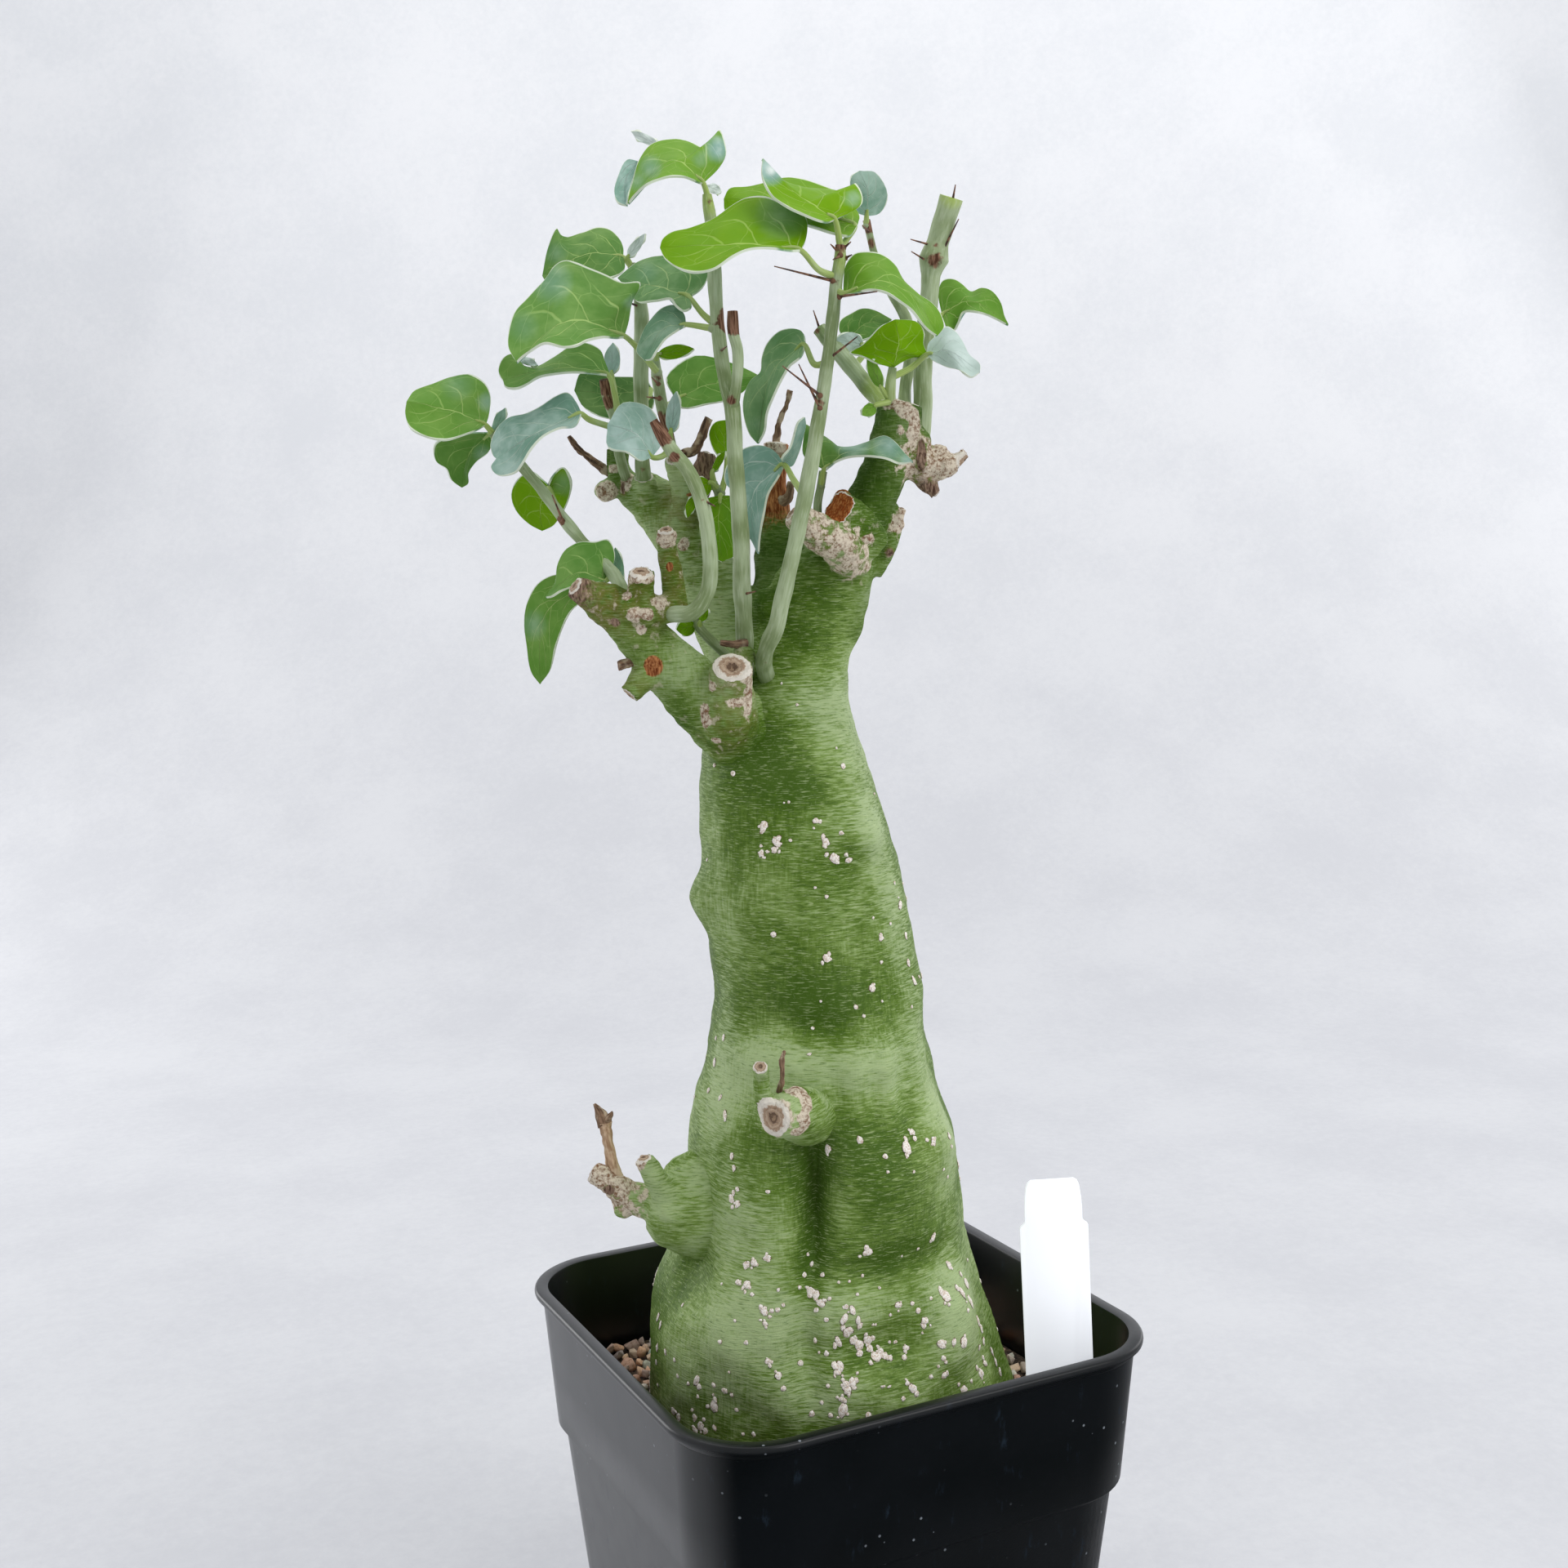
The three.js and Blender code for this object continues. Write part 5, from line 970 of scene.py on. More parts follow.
def on_fill(u, v):
    half, corner, z = fill_profile[round(v * (len(fill_profile) - 1))]
    point = square_ring(u, half, corner, z)
    if z > gravel_top - 2:
        point.z += noise.noise(point / MM / 5) * 0.7 * MM
    return point


soil = Paint("potting mix")
soil_grain = soil.grain(0.9, 5, 0.7)
soil.wear(base_color=soil.blend(soil_grain, 0.4, 0.7, "2c231c", "75604c"), roughness=0.95,
          normal=soil.relief(soil_grain, 0.8))
stone = Paint("gravel")
stops = [(0, "eeb88e"), (0.2, "f6d8b6"), (0.36, "d49a80"), (0.5, "bca69a"), (0.62, "f4e8d6"),
         (0.74, "bcd6c6"), (0.85, "f49a60"), (0.94, "a49894")]
rocks = {"stops": [(place, colour(code)) for place, code in stops]}
hue = stone.node("ValToRGB", rocks, {0: stone.trait("kind")})
stone_grain = stone.grain(1.6, 5, 0.65)
hue = stone.over(hue, "f0e4d6", stone.ramp(stone_grain, 0.3, 0.75) * 0.3)
hue = stone.over(hue, "5c4536", stone.ramp(0.62 - stone_grain, 0.1, 0.3) * 0.25)
stone.wear(base_color=hue, roughness=0.85, normal=stone.relief(stone_grain, 0.25), specular_ior_level=0.3)


def only_points(parts):
    return [part for part in parts if isinstance(part, bmesh.types.BMVert)]


def pebble(bm, x, y, size, chance):
    """A broken pebble: a hull round chance corners, with its edges worn."""
    kind = bm.verts.layers.float["kind"]
    stretchy = Vector([chance.uniform(0.75, 1.2) for _ in range(3)])
    corners = []
    for _ in range(11):
        p = Vector([chance.gauss(0, 1) for _ in range(3)]).normalized() * chance.uniform(0.85, 1.05)
        corners.append(p * stretchy * size)
    turn = Matrix.Rotation(chance.uniform(0, math.tau), 3, "Z")
    spot = Vector((x, y, gravel_top - STONE_BED + chance.uniform(-0.5, 0.9)))
    made = [bm.verts.new((turn @ p + spot) * MM) for p in corners]
    hull = bmesh.ops.convex_hull(bm, input=made)
    loose = dict.fromkeys(only_points(hull["geom_interior"] + hull["geom_unused"]))
    bmesh.ops.delete(bm, geom=list(loose), context="VERTS")
    edges = dict.fromkeys(edge for vert in made if vert.is_valid for edge in vert.link_edges)
    worn = bmesh.ops.bevel(bm, geom=list(edges), offset=size * 0.16 * MM, offset_type="OFFSET", segments=1,
                           affect="EDGES", profile=0.5, material=-1, clamp_overlap=True)
    code = chance.random()
    for vert in worn["verts"]:
        vert[kind] = code
        for face in vert.link_faces:
            face.material_index = 1


bm = mesh_start("kind")
stretch(bm, 48, len(fill_profile) - 1, on_fill)
room = fill_half - STONE_EDGE
nook = room - STONE_CORNER
lines = round(2 * room / (STONE_PITCH * ROW_SHARE))
row = trunk_row(gravel_top)
for i in range(lines + 1):
    for j in range(lines + 1):
        px = -room + (j + 0.5 * (i % 2)) * STONE_PITCH + chance.uniform(-STONE_SHIFT, STONE_SHIFT)
        py = -room + 2 * room * i / lines + chance.uniform(-STONE_SHIFT, STONE_SHIFT)
        size = chance.uniform(1.2, 2) + (0.7 if chance.random() < 0.12 else 0)
        angle = math.atan2(py - row.y, px - row.x)
        to_trunk = math.hypot(px - row.x, py - row.y) - skin_radius(row, angle, gravel_top)
        rounding = math.hypot(max(abs(px) - nook, 0), max(abs(py) - nook, 0))
        in_corner = rounding > room - nook - size * 0.6
        if max(abs(px), abs(py)) > room - size * 0.6 or in_corner or to_trunk < size * 0.45:
            continue
        pebble(bm, px, py, size, chance)
finish("gravel_top", bm, [soil, stone], ["gravel"], crease=50, recalc=False)

# The plant label is a stake die cut from white plastic sheet, with a narrower head and a pointed foot.
# It is pushed into the gravel near the right-hand corner.

LABEL_LENGTH = 96
LABEL_WIDTH = 15
LABEL_THICKNESS = 0.9
LABEL_ROUNDING = 0.12
HEAD_WIDTH = 12.6
HEAD_LENGTH = 10
POINT_LENGTH = 24
half, head = LABEL_WIDTH / 2, HEAD_WIDTH / 2
edge = [(0, 0), (head - 1.6, 0), (head - 0.9, -0.5), (head - 0.5, -1.4), (head - 0.15, -4), (head, -6.5),
        (head, -HEAD_LENGTH + 0.4), (head + 0.4, -HEAD_LENGTH - 0.2), (half - 0.25, -HEAD_LENGTH - 0.6),
        (half, -HEAD_LENGTH - 1), (half, -LABEL_LENGTH + POINT_LENGTH), (1.2, -LABEL_LENGTH)]
outline = edge + [(-x, y) for x, y in reversed(edge) if x]
label_top, label_foot = at((1288, 1444, 24)), at((1298, 1690, 20))
along = (label_top - label_foot).normalized()
facing = level.cross(along).normalized()
sideways = along.cross(facing)
bm = mesh_start()
bm.faces.new([bm.verts.new(label_top + (sideways * x + along * y) * MM) for x, y in outline])
cast = bmesh.ops.extrude_face_region(bm, geom=bm.faces[:])["geom"]
bmesh.ops.translate(bm, verts=only_points(cast), vec=facing * LABEL_THICKNESS * MM)
bmesh.ops.translate(bm, verts=bm.verts, vec=-facing * LABEL_THICKNESS / 2 * MM)
bmesh.ops.recalc_face_normals(bm, faces=bm.faces)
rims = [rim for rim in bm.edges if rim.calc_face_angle(0) > 1.2]
bmesh.ops.bevel(bm, geom=rims, offset=LABEL_ROUNDING * MM, offset_type="OFFSET", segments=2, affect="EDGES",
                profile=0.5, material=-1)
white = Paint("white label plastic with painted glow")
scuffs = white.grain((0.7, 0.7, 0.12), 4, 0.6)
# Painted glow: the label gives off a faint white light of its own, so that it shows evenly white, also low
# down where the pot shades it.
white.wear(base_color=white.mix(white.ramp(scuffs, 0.5, 0.8) * 0.25, colour("e2e4e7"), colour("d0d5db")),
           roughness=0.34 + scuffs * 0.2, normal=white.relief(white.grain(0.09, 2), 0.12),
           emission_color=colour("f4f8ff"), emission_strength=0.5)
finish("label_stake", bm, [white], ["label"], crease=30)

# Dead twigs are left on the old wood, on its cut ends and on the two stubs low on the trunk. They are
# dry, brown and brittle, and one thick twig has bleached to straw.

# Each twig is (places, radii, straw), where straw is how pale it has dried, from 0 to 1.
TWIGS = [
    ([(785, 808, 21), (772, 811, 23), (757, 815, 24)], [1.8, 1.2, 1], 0.1),
    ([(768, 588, -20), (742, 576, -20), (722, 561, -20), (705, 547, -20), (697, 534, -20)],
     [1.5, 1, 0.85, 0.75, 0.45], 0),
    ([(838, 606, -12), (837, 557, -11), (849, 553, -11), (868, 512, -11)], [1.6, 1.2, 1.1, 1], 0),
    ([(948, 618, -16), (965, 608, -14), (969, 590, -13)], [1.8, 1.1, 0.8], 0.3),
    ([(948, 560, -17), (954, 518, -17), (963, 496, -17), (968, 478, -17)], [1.2, 0.65, 0.55, 0.7], 0.2),
    ([(757, 1455, 14), (750, 1425, 13), (743, 1390, 12), (741, 1374, 12)], [1.9, 1.4, 1.2, 1.6], 1),
    ([(741, 1379, 12), (737, 1366, 11), (728, 1352, 11)], [1.7, 1.5, 0.3], 0.15),
    ([(739, 1376, 12), (746, 1368, 12), (750, 1361, 12)], [1.2, 0.8, 0.3], 0.15),
    ([(914, 790, 16), (897, 789, 17), (882, 787, 18)], [1.3, 0.9, 0.6], 0.1),
    ([(954, 1337, 39), (958, 1319, 41), (957, 1303, 41), (960, 1287, 40)], [0.7, 0.4, 0.6, 0.25], 0.2),
]

dry = Paint("dry twig")
fibres = dry.grain(1, 4, 0.6, dry.wrapped((9, 3, 1)))
dry_tint = dry.blend(fibres, 0.35, 0.68, "3f2c22", "8e7058")
straw_tint = dry.blend(fibres, 0.35, 0.68, "9c7c5e", "d2b698")
dry_tint = dry.mix(dry.trait("straw") * 0.95, dry_tint, straw_tint)
dry_tint = dry.over(dry_tint, "d8c7ab", dry.ramp(dry.grain(0.35, 3), 0.52, 0.66) * 0.5)
dry.wear(base_color=dry_tint, roughness=0.8, normal=dry.relief(fibres + dry.grain(1.8, 3) * 0.5, 0.2),
         specular_ior_level=0.25)


def points_of(faces):
    return {vert for face in faces for vert in face.verts}


def crooked(bm, faces, size, amount):
    """Pushes the corner points of faces about, in lumps of a size in millimetres."""
    bm.normal_update()
    for vert in points_of(faces):
        vert.co += vert.normal * noise.noise(vert.co / MM / size) * amount * MM


bm = mesh_start("straw")
straw = bm.verts.layers.float["straw"]
for places, radii, paleness in TWIGS:
    made = rod(bm, [at(place) for place in places], radii, sides=16, step=0.5)
    for vert in points_of(made):
        vert[straw] = paleness
    crooked(bm, made, 1.6, 0.35)
    crooked(bm, made, 0.6, 0.12)
finish("dry_twigs", bm, [dry], crease=60)

# Young shoots grow from the old wood. Each is a green stem with pale bloom, leaves on thin stalks,
# and brown spines, tendril ends and scars at its nodes. A leaf is green above and blue-grey beneath.

# Brown nodes, scars and withered lengths on the stems: (x, y, radius, strength), in pixels.
BROWN = [
    (895, 490, 9, 0.8), (897, 392, 22, 1.4), (686, 638, 9, 0.8), (640, 574, 5, 0.5), (826, 560, 9, 1),
    (806, 526, 26, 1.2), (742, 470, 20, 1.1), (745, 492, 14, 0.8), (1028, 302, 12, 0.7),
    (1024, 345, 8, 0.5), (1005, 492, 9, 0.6), (1144, 318, 16, 0.7), (1146, 300, 8, 0.5), (1061, 276, 14, 1),
    (1066, 298, 10, 0.7), (868, 246, 8, 0.5), (876, 398, 7, 0.5), (806, 462, 10, 0.5), (809, 488, 10, 0.5),
    (1000, 404, 8, 0.6), (909, 728, 6, 0.5), (912, 800, 9, 0.8), (938, 812, 6, 0.4), (860, 612, 6, 0.5),
    (787, 574, 8, 0.5),
]
# Fresh yellow-green places on the stems, cut or growing.
FRESH = [(1166, 240, 17, 1), (872, 250, 26, 0.7), (1030, 318, 20, 0.6), (1078, 480, 26, 0.6)]
BLADE = 0.5
WAVE = 0.7
SPINE_RADIUS = 0.34
STALK_RADIUS = 0.68

stem_paint = Paint("shoot stem")
lined = stem_paint.grain(1, 3, 0.55, stem_paint.wrapped((22, 2.2, 1)))
stem_tint = stem_paint.blend(stem_paint.grain(0.09, 2), 0.4, 0.62, "839466", "a9b892")
stem_tint = stem_paint.over(stem_tint, "b4cc5c", stem_paint.trait("tone") * 0.9)
stem_tint = stem_paint.over(stem_tint, "cdd8bc", stem_paint.ramp(lined, 0.5, 0.68) * 0.3)
stem_tint = stem_paint.over(stem_tint, "5c7040", stem_paint.ramp(0.55 - lined, 0.05, 0.25) * 0.3)
browned = stem_paint.blend(lined, 0.35, 0.65, "4c3022", "94705a")
spotted = stem_paint.trait("brown") + (stem_paint.grain(1.1, 3) - 0.5) * 0.6
spotted = stem_paint.ramp(spotted, 0.3, 0.55)
stem_paint.wear(base_color=stem_paint.mix(spotted, stem_tint, browned), roughness=0.5 + spotted * 0.3,
                normal=stem_paint.relief(lined + stem_paint.grain(1.2, 2) * 0.4, 0.05),
                specular_ior_level=0.12)

leaf_paint = Paint("leaf blade")
spread = leaf_paint.node("TexCoord", out="UV")
wander = {"Vector": spread, "Scale": 4.0, "Detail": 2}
wander = leaf_paint.node("TexNoise", {"noise_dimensions": "2D"}, wander, out="Color")
wander = leaf_paint.vector_maths("SUBTRACT", wander, (0.5, 0.5, 0.5))
wander = leaf_paint.vector_maths("MULTIPLY", wander, (0.06, 0.07, 0))
spread = leaf_paint.vector_maths("ADD", spread, wander)
across = leaf_paint.axis("X", spread) * 2 - 1
length = leaf_paint.axis("Y", spread)
side = abs(across)
right_half = leaf_paint.maths("GREATER_THAN", across, 0.0)
veins = leaf_paint.ramp(0.03 - side - length * 0.016, 0, 0.016)
# Side veins leave the rib at a share of its length and reach out, a little uneven left and right. Each
# is (start, reach, bend, offset, strength).
SIDE_VEINS = [(0, 0.2, 1.3, 0.03, 0.8), (0.01, 0.52, 1.15, 0.05, 0.9), (0.3, 0.42, 1, 0.1, 0.7),
              (0.55, 0.32, 1, 0.06, 0.5)]
fade = 1 - leaf_paint.ramp(side, 0.5, 0.85)
for start, reach, bend, offset, strength in SIDE_VEINS:
    lift = abs(length - (start + right_half * offset) - reach * side ** bend)
    veins = leaf_paint.maths("MAXIMUM", veins, leaf_paint.ramp(0.014 - lift, 0, 0.01) * fade * strength)
cells = {"feature": "DISTANCE_TO_EDGE", "voronoi_dimensions": "2D"}
net = leaf_paint.node("TexVoronoi", cells, {"Vector": spread, "Scale": 4.2})
netted = leaf_paint.ramp(0.022 - net, 0, 0.018) * 0.35
veined = leaf_paint.maths("MAXIMUM", veins, netted)
mottle = leaf_paint.grain(0.16, 3, 0.6)
tone, bloom, under = (leaf_paint.trait(name) for name in ("tone", "bloom", "under"))
blade = leaf_paint.blend(tone, 0, 0.6, "365e0c", "57881a")
blade = leaf_paint.over(blade, "70a004", leaf_paint.ramp(tone, 0.55, 1))
blade = leaf_paint.over(blade, "82a81c", leaf_paint.ramp(mottle, 0.38, 0.68) * 0.3)
greyed = leaf_paint.maths("MAXIMUM", bloom, under * 0.92)
blade = leaf_paint.mix(greyed, blade, leaf_paint.blend(mottle, 0.35, 0.7, "82a898", "b4cec6"))
# Painted glow: bloom over 1 whitens small folded leaves that face away from the lamps, as if light came
# through them.
blade = leaf_paint.over(blade, "e4eee8", leaf_paint.ramp(bloom, 1, 1.5))
blade = leaf_paint.mix(veined * 0.7, blade, leaf_paint.mix(greyed, colour("b4d46c"), colour("d6e6de")))
blade = leaf_paint.over(blade, "e8efda", leaf_paint.ramp(side, 0.974, 0.99) * 0.85)
leaf_paint.wear(base_color=blade, roughness=0.45 + greyed * 0.2, specular_ior_level=0.06,
                normal=leaf_paint.relief(mottle * 0.6 - veined * 0.5 + netted * 0.3, 0.3))

spine_paint = Paint("spine")
spine_paint.wear(base_color=spine_paint.blend(spine_paint.grain(0.7, 2), 0.4, 0.6, "3f2418", "8a6048"),
                 roughness=0.55, normal=spine_paint.relief(spine_paint.grain(1.6, 2), 0.05))


def touched(point, spots):
    """How strongly round spots, each (x, y, radius, strength), colour a point, from where they are seen."""
    ray = point - EYE
    depth = ray.dot(ahead)
    x = PICTURE / 2 + FOCAL * ray.dot(rightward) / depth
    y = PICTURE / 2 - FOCAL * ray.dot(upward) / depth
    return max([strength * max(0, 1 - math.hypot(x - px, y - py) / radius) ** 0.6
                for px, py, radius, strength in spots if abs(x - px) < radius and abs(y - py) < radius],
               default=0)


def small(base, tip, half, **look):
    """A small leaf or leaflet. Its margins stand half a blade's width either side of its rib."""
    base, tip = Vector(base), Vector(tip)
    run = tip - base
    out = Vector((-run.y, run.x, 0)) / math.hypot(run.x, run.y) * half + Vector((0, 0, half * 0.08))

    def margin(sign):
        return [base + run * t + out * (width * sign) for t, width in ((0.2, 0.8), (0.5, 1), (0.8, 0.6))]

    return dict(rib=[base, base + run / 2, tip], left=margin(1), right=margin(-1), **look)


def blade_point(leaf, t, s):
    """A point of a leaf: t runs from its base to its tip, and s from -1 to 1 across it."""
    rib = [Vector(place) for place in leaf["rib"]]
    side = [Vector(place) for place in leaf["left" if s < 0 else "right"]]
    margin = through([rib[0], *side, rib[-1]], t)
    place = through(rib, t).lerp(margin, abs(s))
    place.z += WAVE * s * s * math.sin(math.pi * t) * math.sin(10 * t + (0 if s < 0 else 1.3))
    return at(place)


def grow_leaf(bm, leaf):
    """One waved blade, split into its green face and its back, on its stalk."""
    tone, bloom, under = traits_of(bm, "tone", "bloom", "under")
    rows = max(16, 5 * max(len(leaf["left"]), len(leaf["right"])))
    faces = stretch(bm, 16, rows, lambda u, v: blade_point(leaf, v, 2 * u - 1), 1)
    bm.normal_update()
    if sum((face.normal * face.calc_area() for face in faces), Vector()).dot(EYE - at(leaf["rib"][1])) < 0:
        bmesh.ops.reverse_faces(bm, faces=faces)
        bm.normal_update()
    shown = points_of(faces)
    for vert in shown:
        vert.co += vert.normal * noise.noise(vert.co / MM / 6) * 0.35 * MM
        vert[tone] = leaf["tone"]
        vert[bloom] = max(leaf["bloom"], touched(vert.co, leaf.get("grey", [])))
    backed = bmesh.ops.solidify(bm, geom=faces, thickness=BLADE * MM)["geom"]
    for vert in set(only_points(backed)) - shown:
        vert[under] = 1
        vert[tone] = leaf["tone"]
    if "stalk" in leaf:
        line = [at(place) for place in leaf["stalk"]]
        line += [blade_point(leaf, 0.02, 0), blade_point(leaf, 0.14, 0)]
        thick = [STALK_RADIUS * 1.15] + [STALK_RADIUS] * (len(line) - 3) + [STALK_RADIUS * 0.8, 0.3]
        for vert in points_of(rod(bm, line, thick, sides=10, step=0.8)):
            vert[tone] = 0.6


def knuckle(bm, place, radius, strength):
    """A rounded node or scar where a stalk or a spine leaves the stem."""
    brown = bm.verts.layers.float["brown"]
    spot = Matrix.Translation(at(place))
    for vert in bmesh.ops.create_icosphere(bm, subdivisions=2, radius=radius * MM, matrix=spot)["verts"]:
        vert.co += (vert.co - at(place)) * 0.3 * noise.noise(vert.co / MM)
        vert[brown] = strength


def grow_shoot(name, stems, leaves=(), spines=()):
    """One shoot, made of stems (places, radii), leaves and spines (foot, end). A leaf has the places of its
    rib, its margins and its stalk, how bright a green it is, how bloomed it is, and its grey spots. Bloom
    over 1, from the leaf or its grey spots, is a painted glow that whitens the leaf as if lit through."""
    bm = mesh_start("tone", "bloom", "under", "brown")
    brown, fresh = traits_of(bm, "brown", "tone")
    for places, radii in stems:
        made = rod(bm, [at(place) for place in places], radii, step=0.7)
        crooked(bm, made, 4.5, 0.22)
        for vert in points_of(made):
            vert[brown] = touched(vert.co, BROWN)
            vert[fresh] = touched(vert.co, FRESH)
    for leaf in leaves:
        grow_leaf(bm, leaf)
        if "stalk" in leaf:
            knuckle(bm, leaf["stalk"][0], 1.0, 0.25)
    for foot, end in spines:
        rod(bm, [at(foot), at(end)], [SPINE_RADIUS, 0.12], sides=8, step=1.5, paint=2)
        knuckle(bm, foot, 0.62, 0.8)
    finish(name + "_grown", bm, [stem_paint, leaf_paint, spine_paint], [name], crease=50)


# The centre shoot, with the highest leaf, two lower leaves and a cut brown side end.
grow_shoot("shoot_centre", stems=[
    ([(914, 842, 4), (912, 804, 12), (911, 765, 15), (909, 720, 17), (908, 680, 18), (905, 620, 18),
      (900, 560, 18), (897, 500, 17), (889, 470, 16), (881, 420, 15), (876, 360, 14), (874, 300, 13),
      (868, 255, 13), (866, 238, 13)],
     [1.9, 1.9, 1.9, 1.9, 1.9, 1.8, 1.7, 1.7, 1.6, 1.5, 1.5, 1.4, 1.2, 1]),
    ([(896, 502, 17), (902, 470, 20), (903, 430, 21), (898, 408, 21), (897, 381, 21)],
     [1.3, 1.2, 1.2, 1.2, 1.1]),
], leaves=[
    dict(tone=0.85, bloom=0.05,
         grey=[(796, 205, 16, 0.6), (880, 182, 18, 1.3), (858, 195, 12, 0.4), (780, 222, 14, 0.5)],
         rib=[(862, 224, 13), (822, 196, 20), (769, 249, 25)],
         left=[(880, 206, 7), (890, 185, 4), (881, 158, 3), (868, 181, 5), (846, 174, 6), (822, 170, 8),
               (799, 175, 11), (784, 192, 14), (775, 218, 19)],
         right=[(853, 221, 18), (838, 215, 24), (815, 215, 27), (793, 223, 28), (778, 236, 27)],
         stalk=[(871, 258, 13)]),
    dict(tone=0.5, bloom=0.25, grey=[(792, 334, 26, 0.45), (840, 330, 18, 0.3)],
         rib=[(843, 362, 8), (800, 350, 1), (756, 340, -6)],
         left=[(861, 350, 5), (868, 330, 3), (850, 316, -1), (826, 312, -5), (803, 313, -7), (782, 320, -9),
               (768, 329, -8)],
         right=[(846, 374, 12), (838, 380, 13), (829, 374, 12), (822, 365, 11), (800, 368, 8),
                (780, 369, 2), (766, 352, -3)],
         stalk=[(874, 396, 14), (860, 384, 11)]),
    dict(tone=0.35, bloom=0.55, rib=[(840, 397, 12), (812, 402, 14), (788, 440, 17)],
         left=[(838, 384, 9), (826, 374, 8), (810, 378, 8), (796, 392, 10), (785, 411, 12), (779, 430, 14)],
         right=[(830, 402, 15), (815, 414, 18), (804, 428, 19), (796, 439, 19)], stalk=[(872, 402, 15)]),
    dict(tone=0.4, bloom=0.95, rib=[(781, 197, 14), (765, 222, 17), (767, 252, 22)],
         left=[(768, 195, 14), (757, 214, 17), (752, 234, 19), (757, 248, 21)],
         right=[(776, 212, 17), (771, 230, 21), (769, 243, 23)]),
    small((806, 178, 4), (772, 161, 2), 6, tone=1, bloom=1.4),
    small((866, 228, 9), (884, 235, 8), 6, tone=0.9, bloom=1.5),
], spines=[((882, 430, 15), (890, 424, 24)), ((909, 728, 17), (926, 724, 22))])

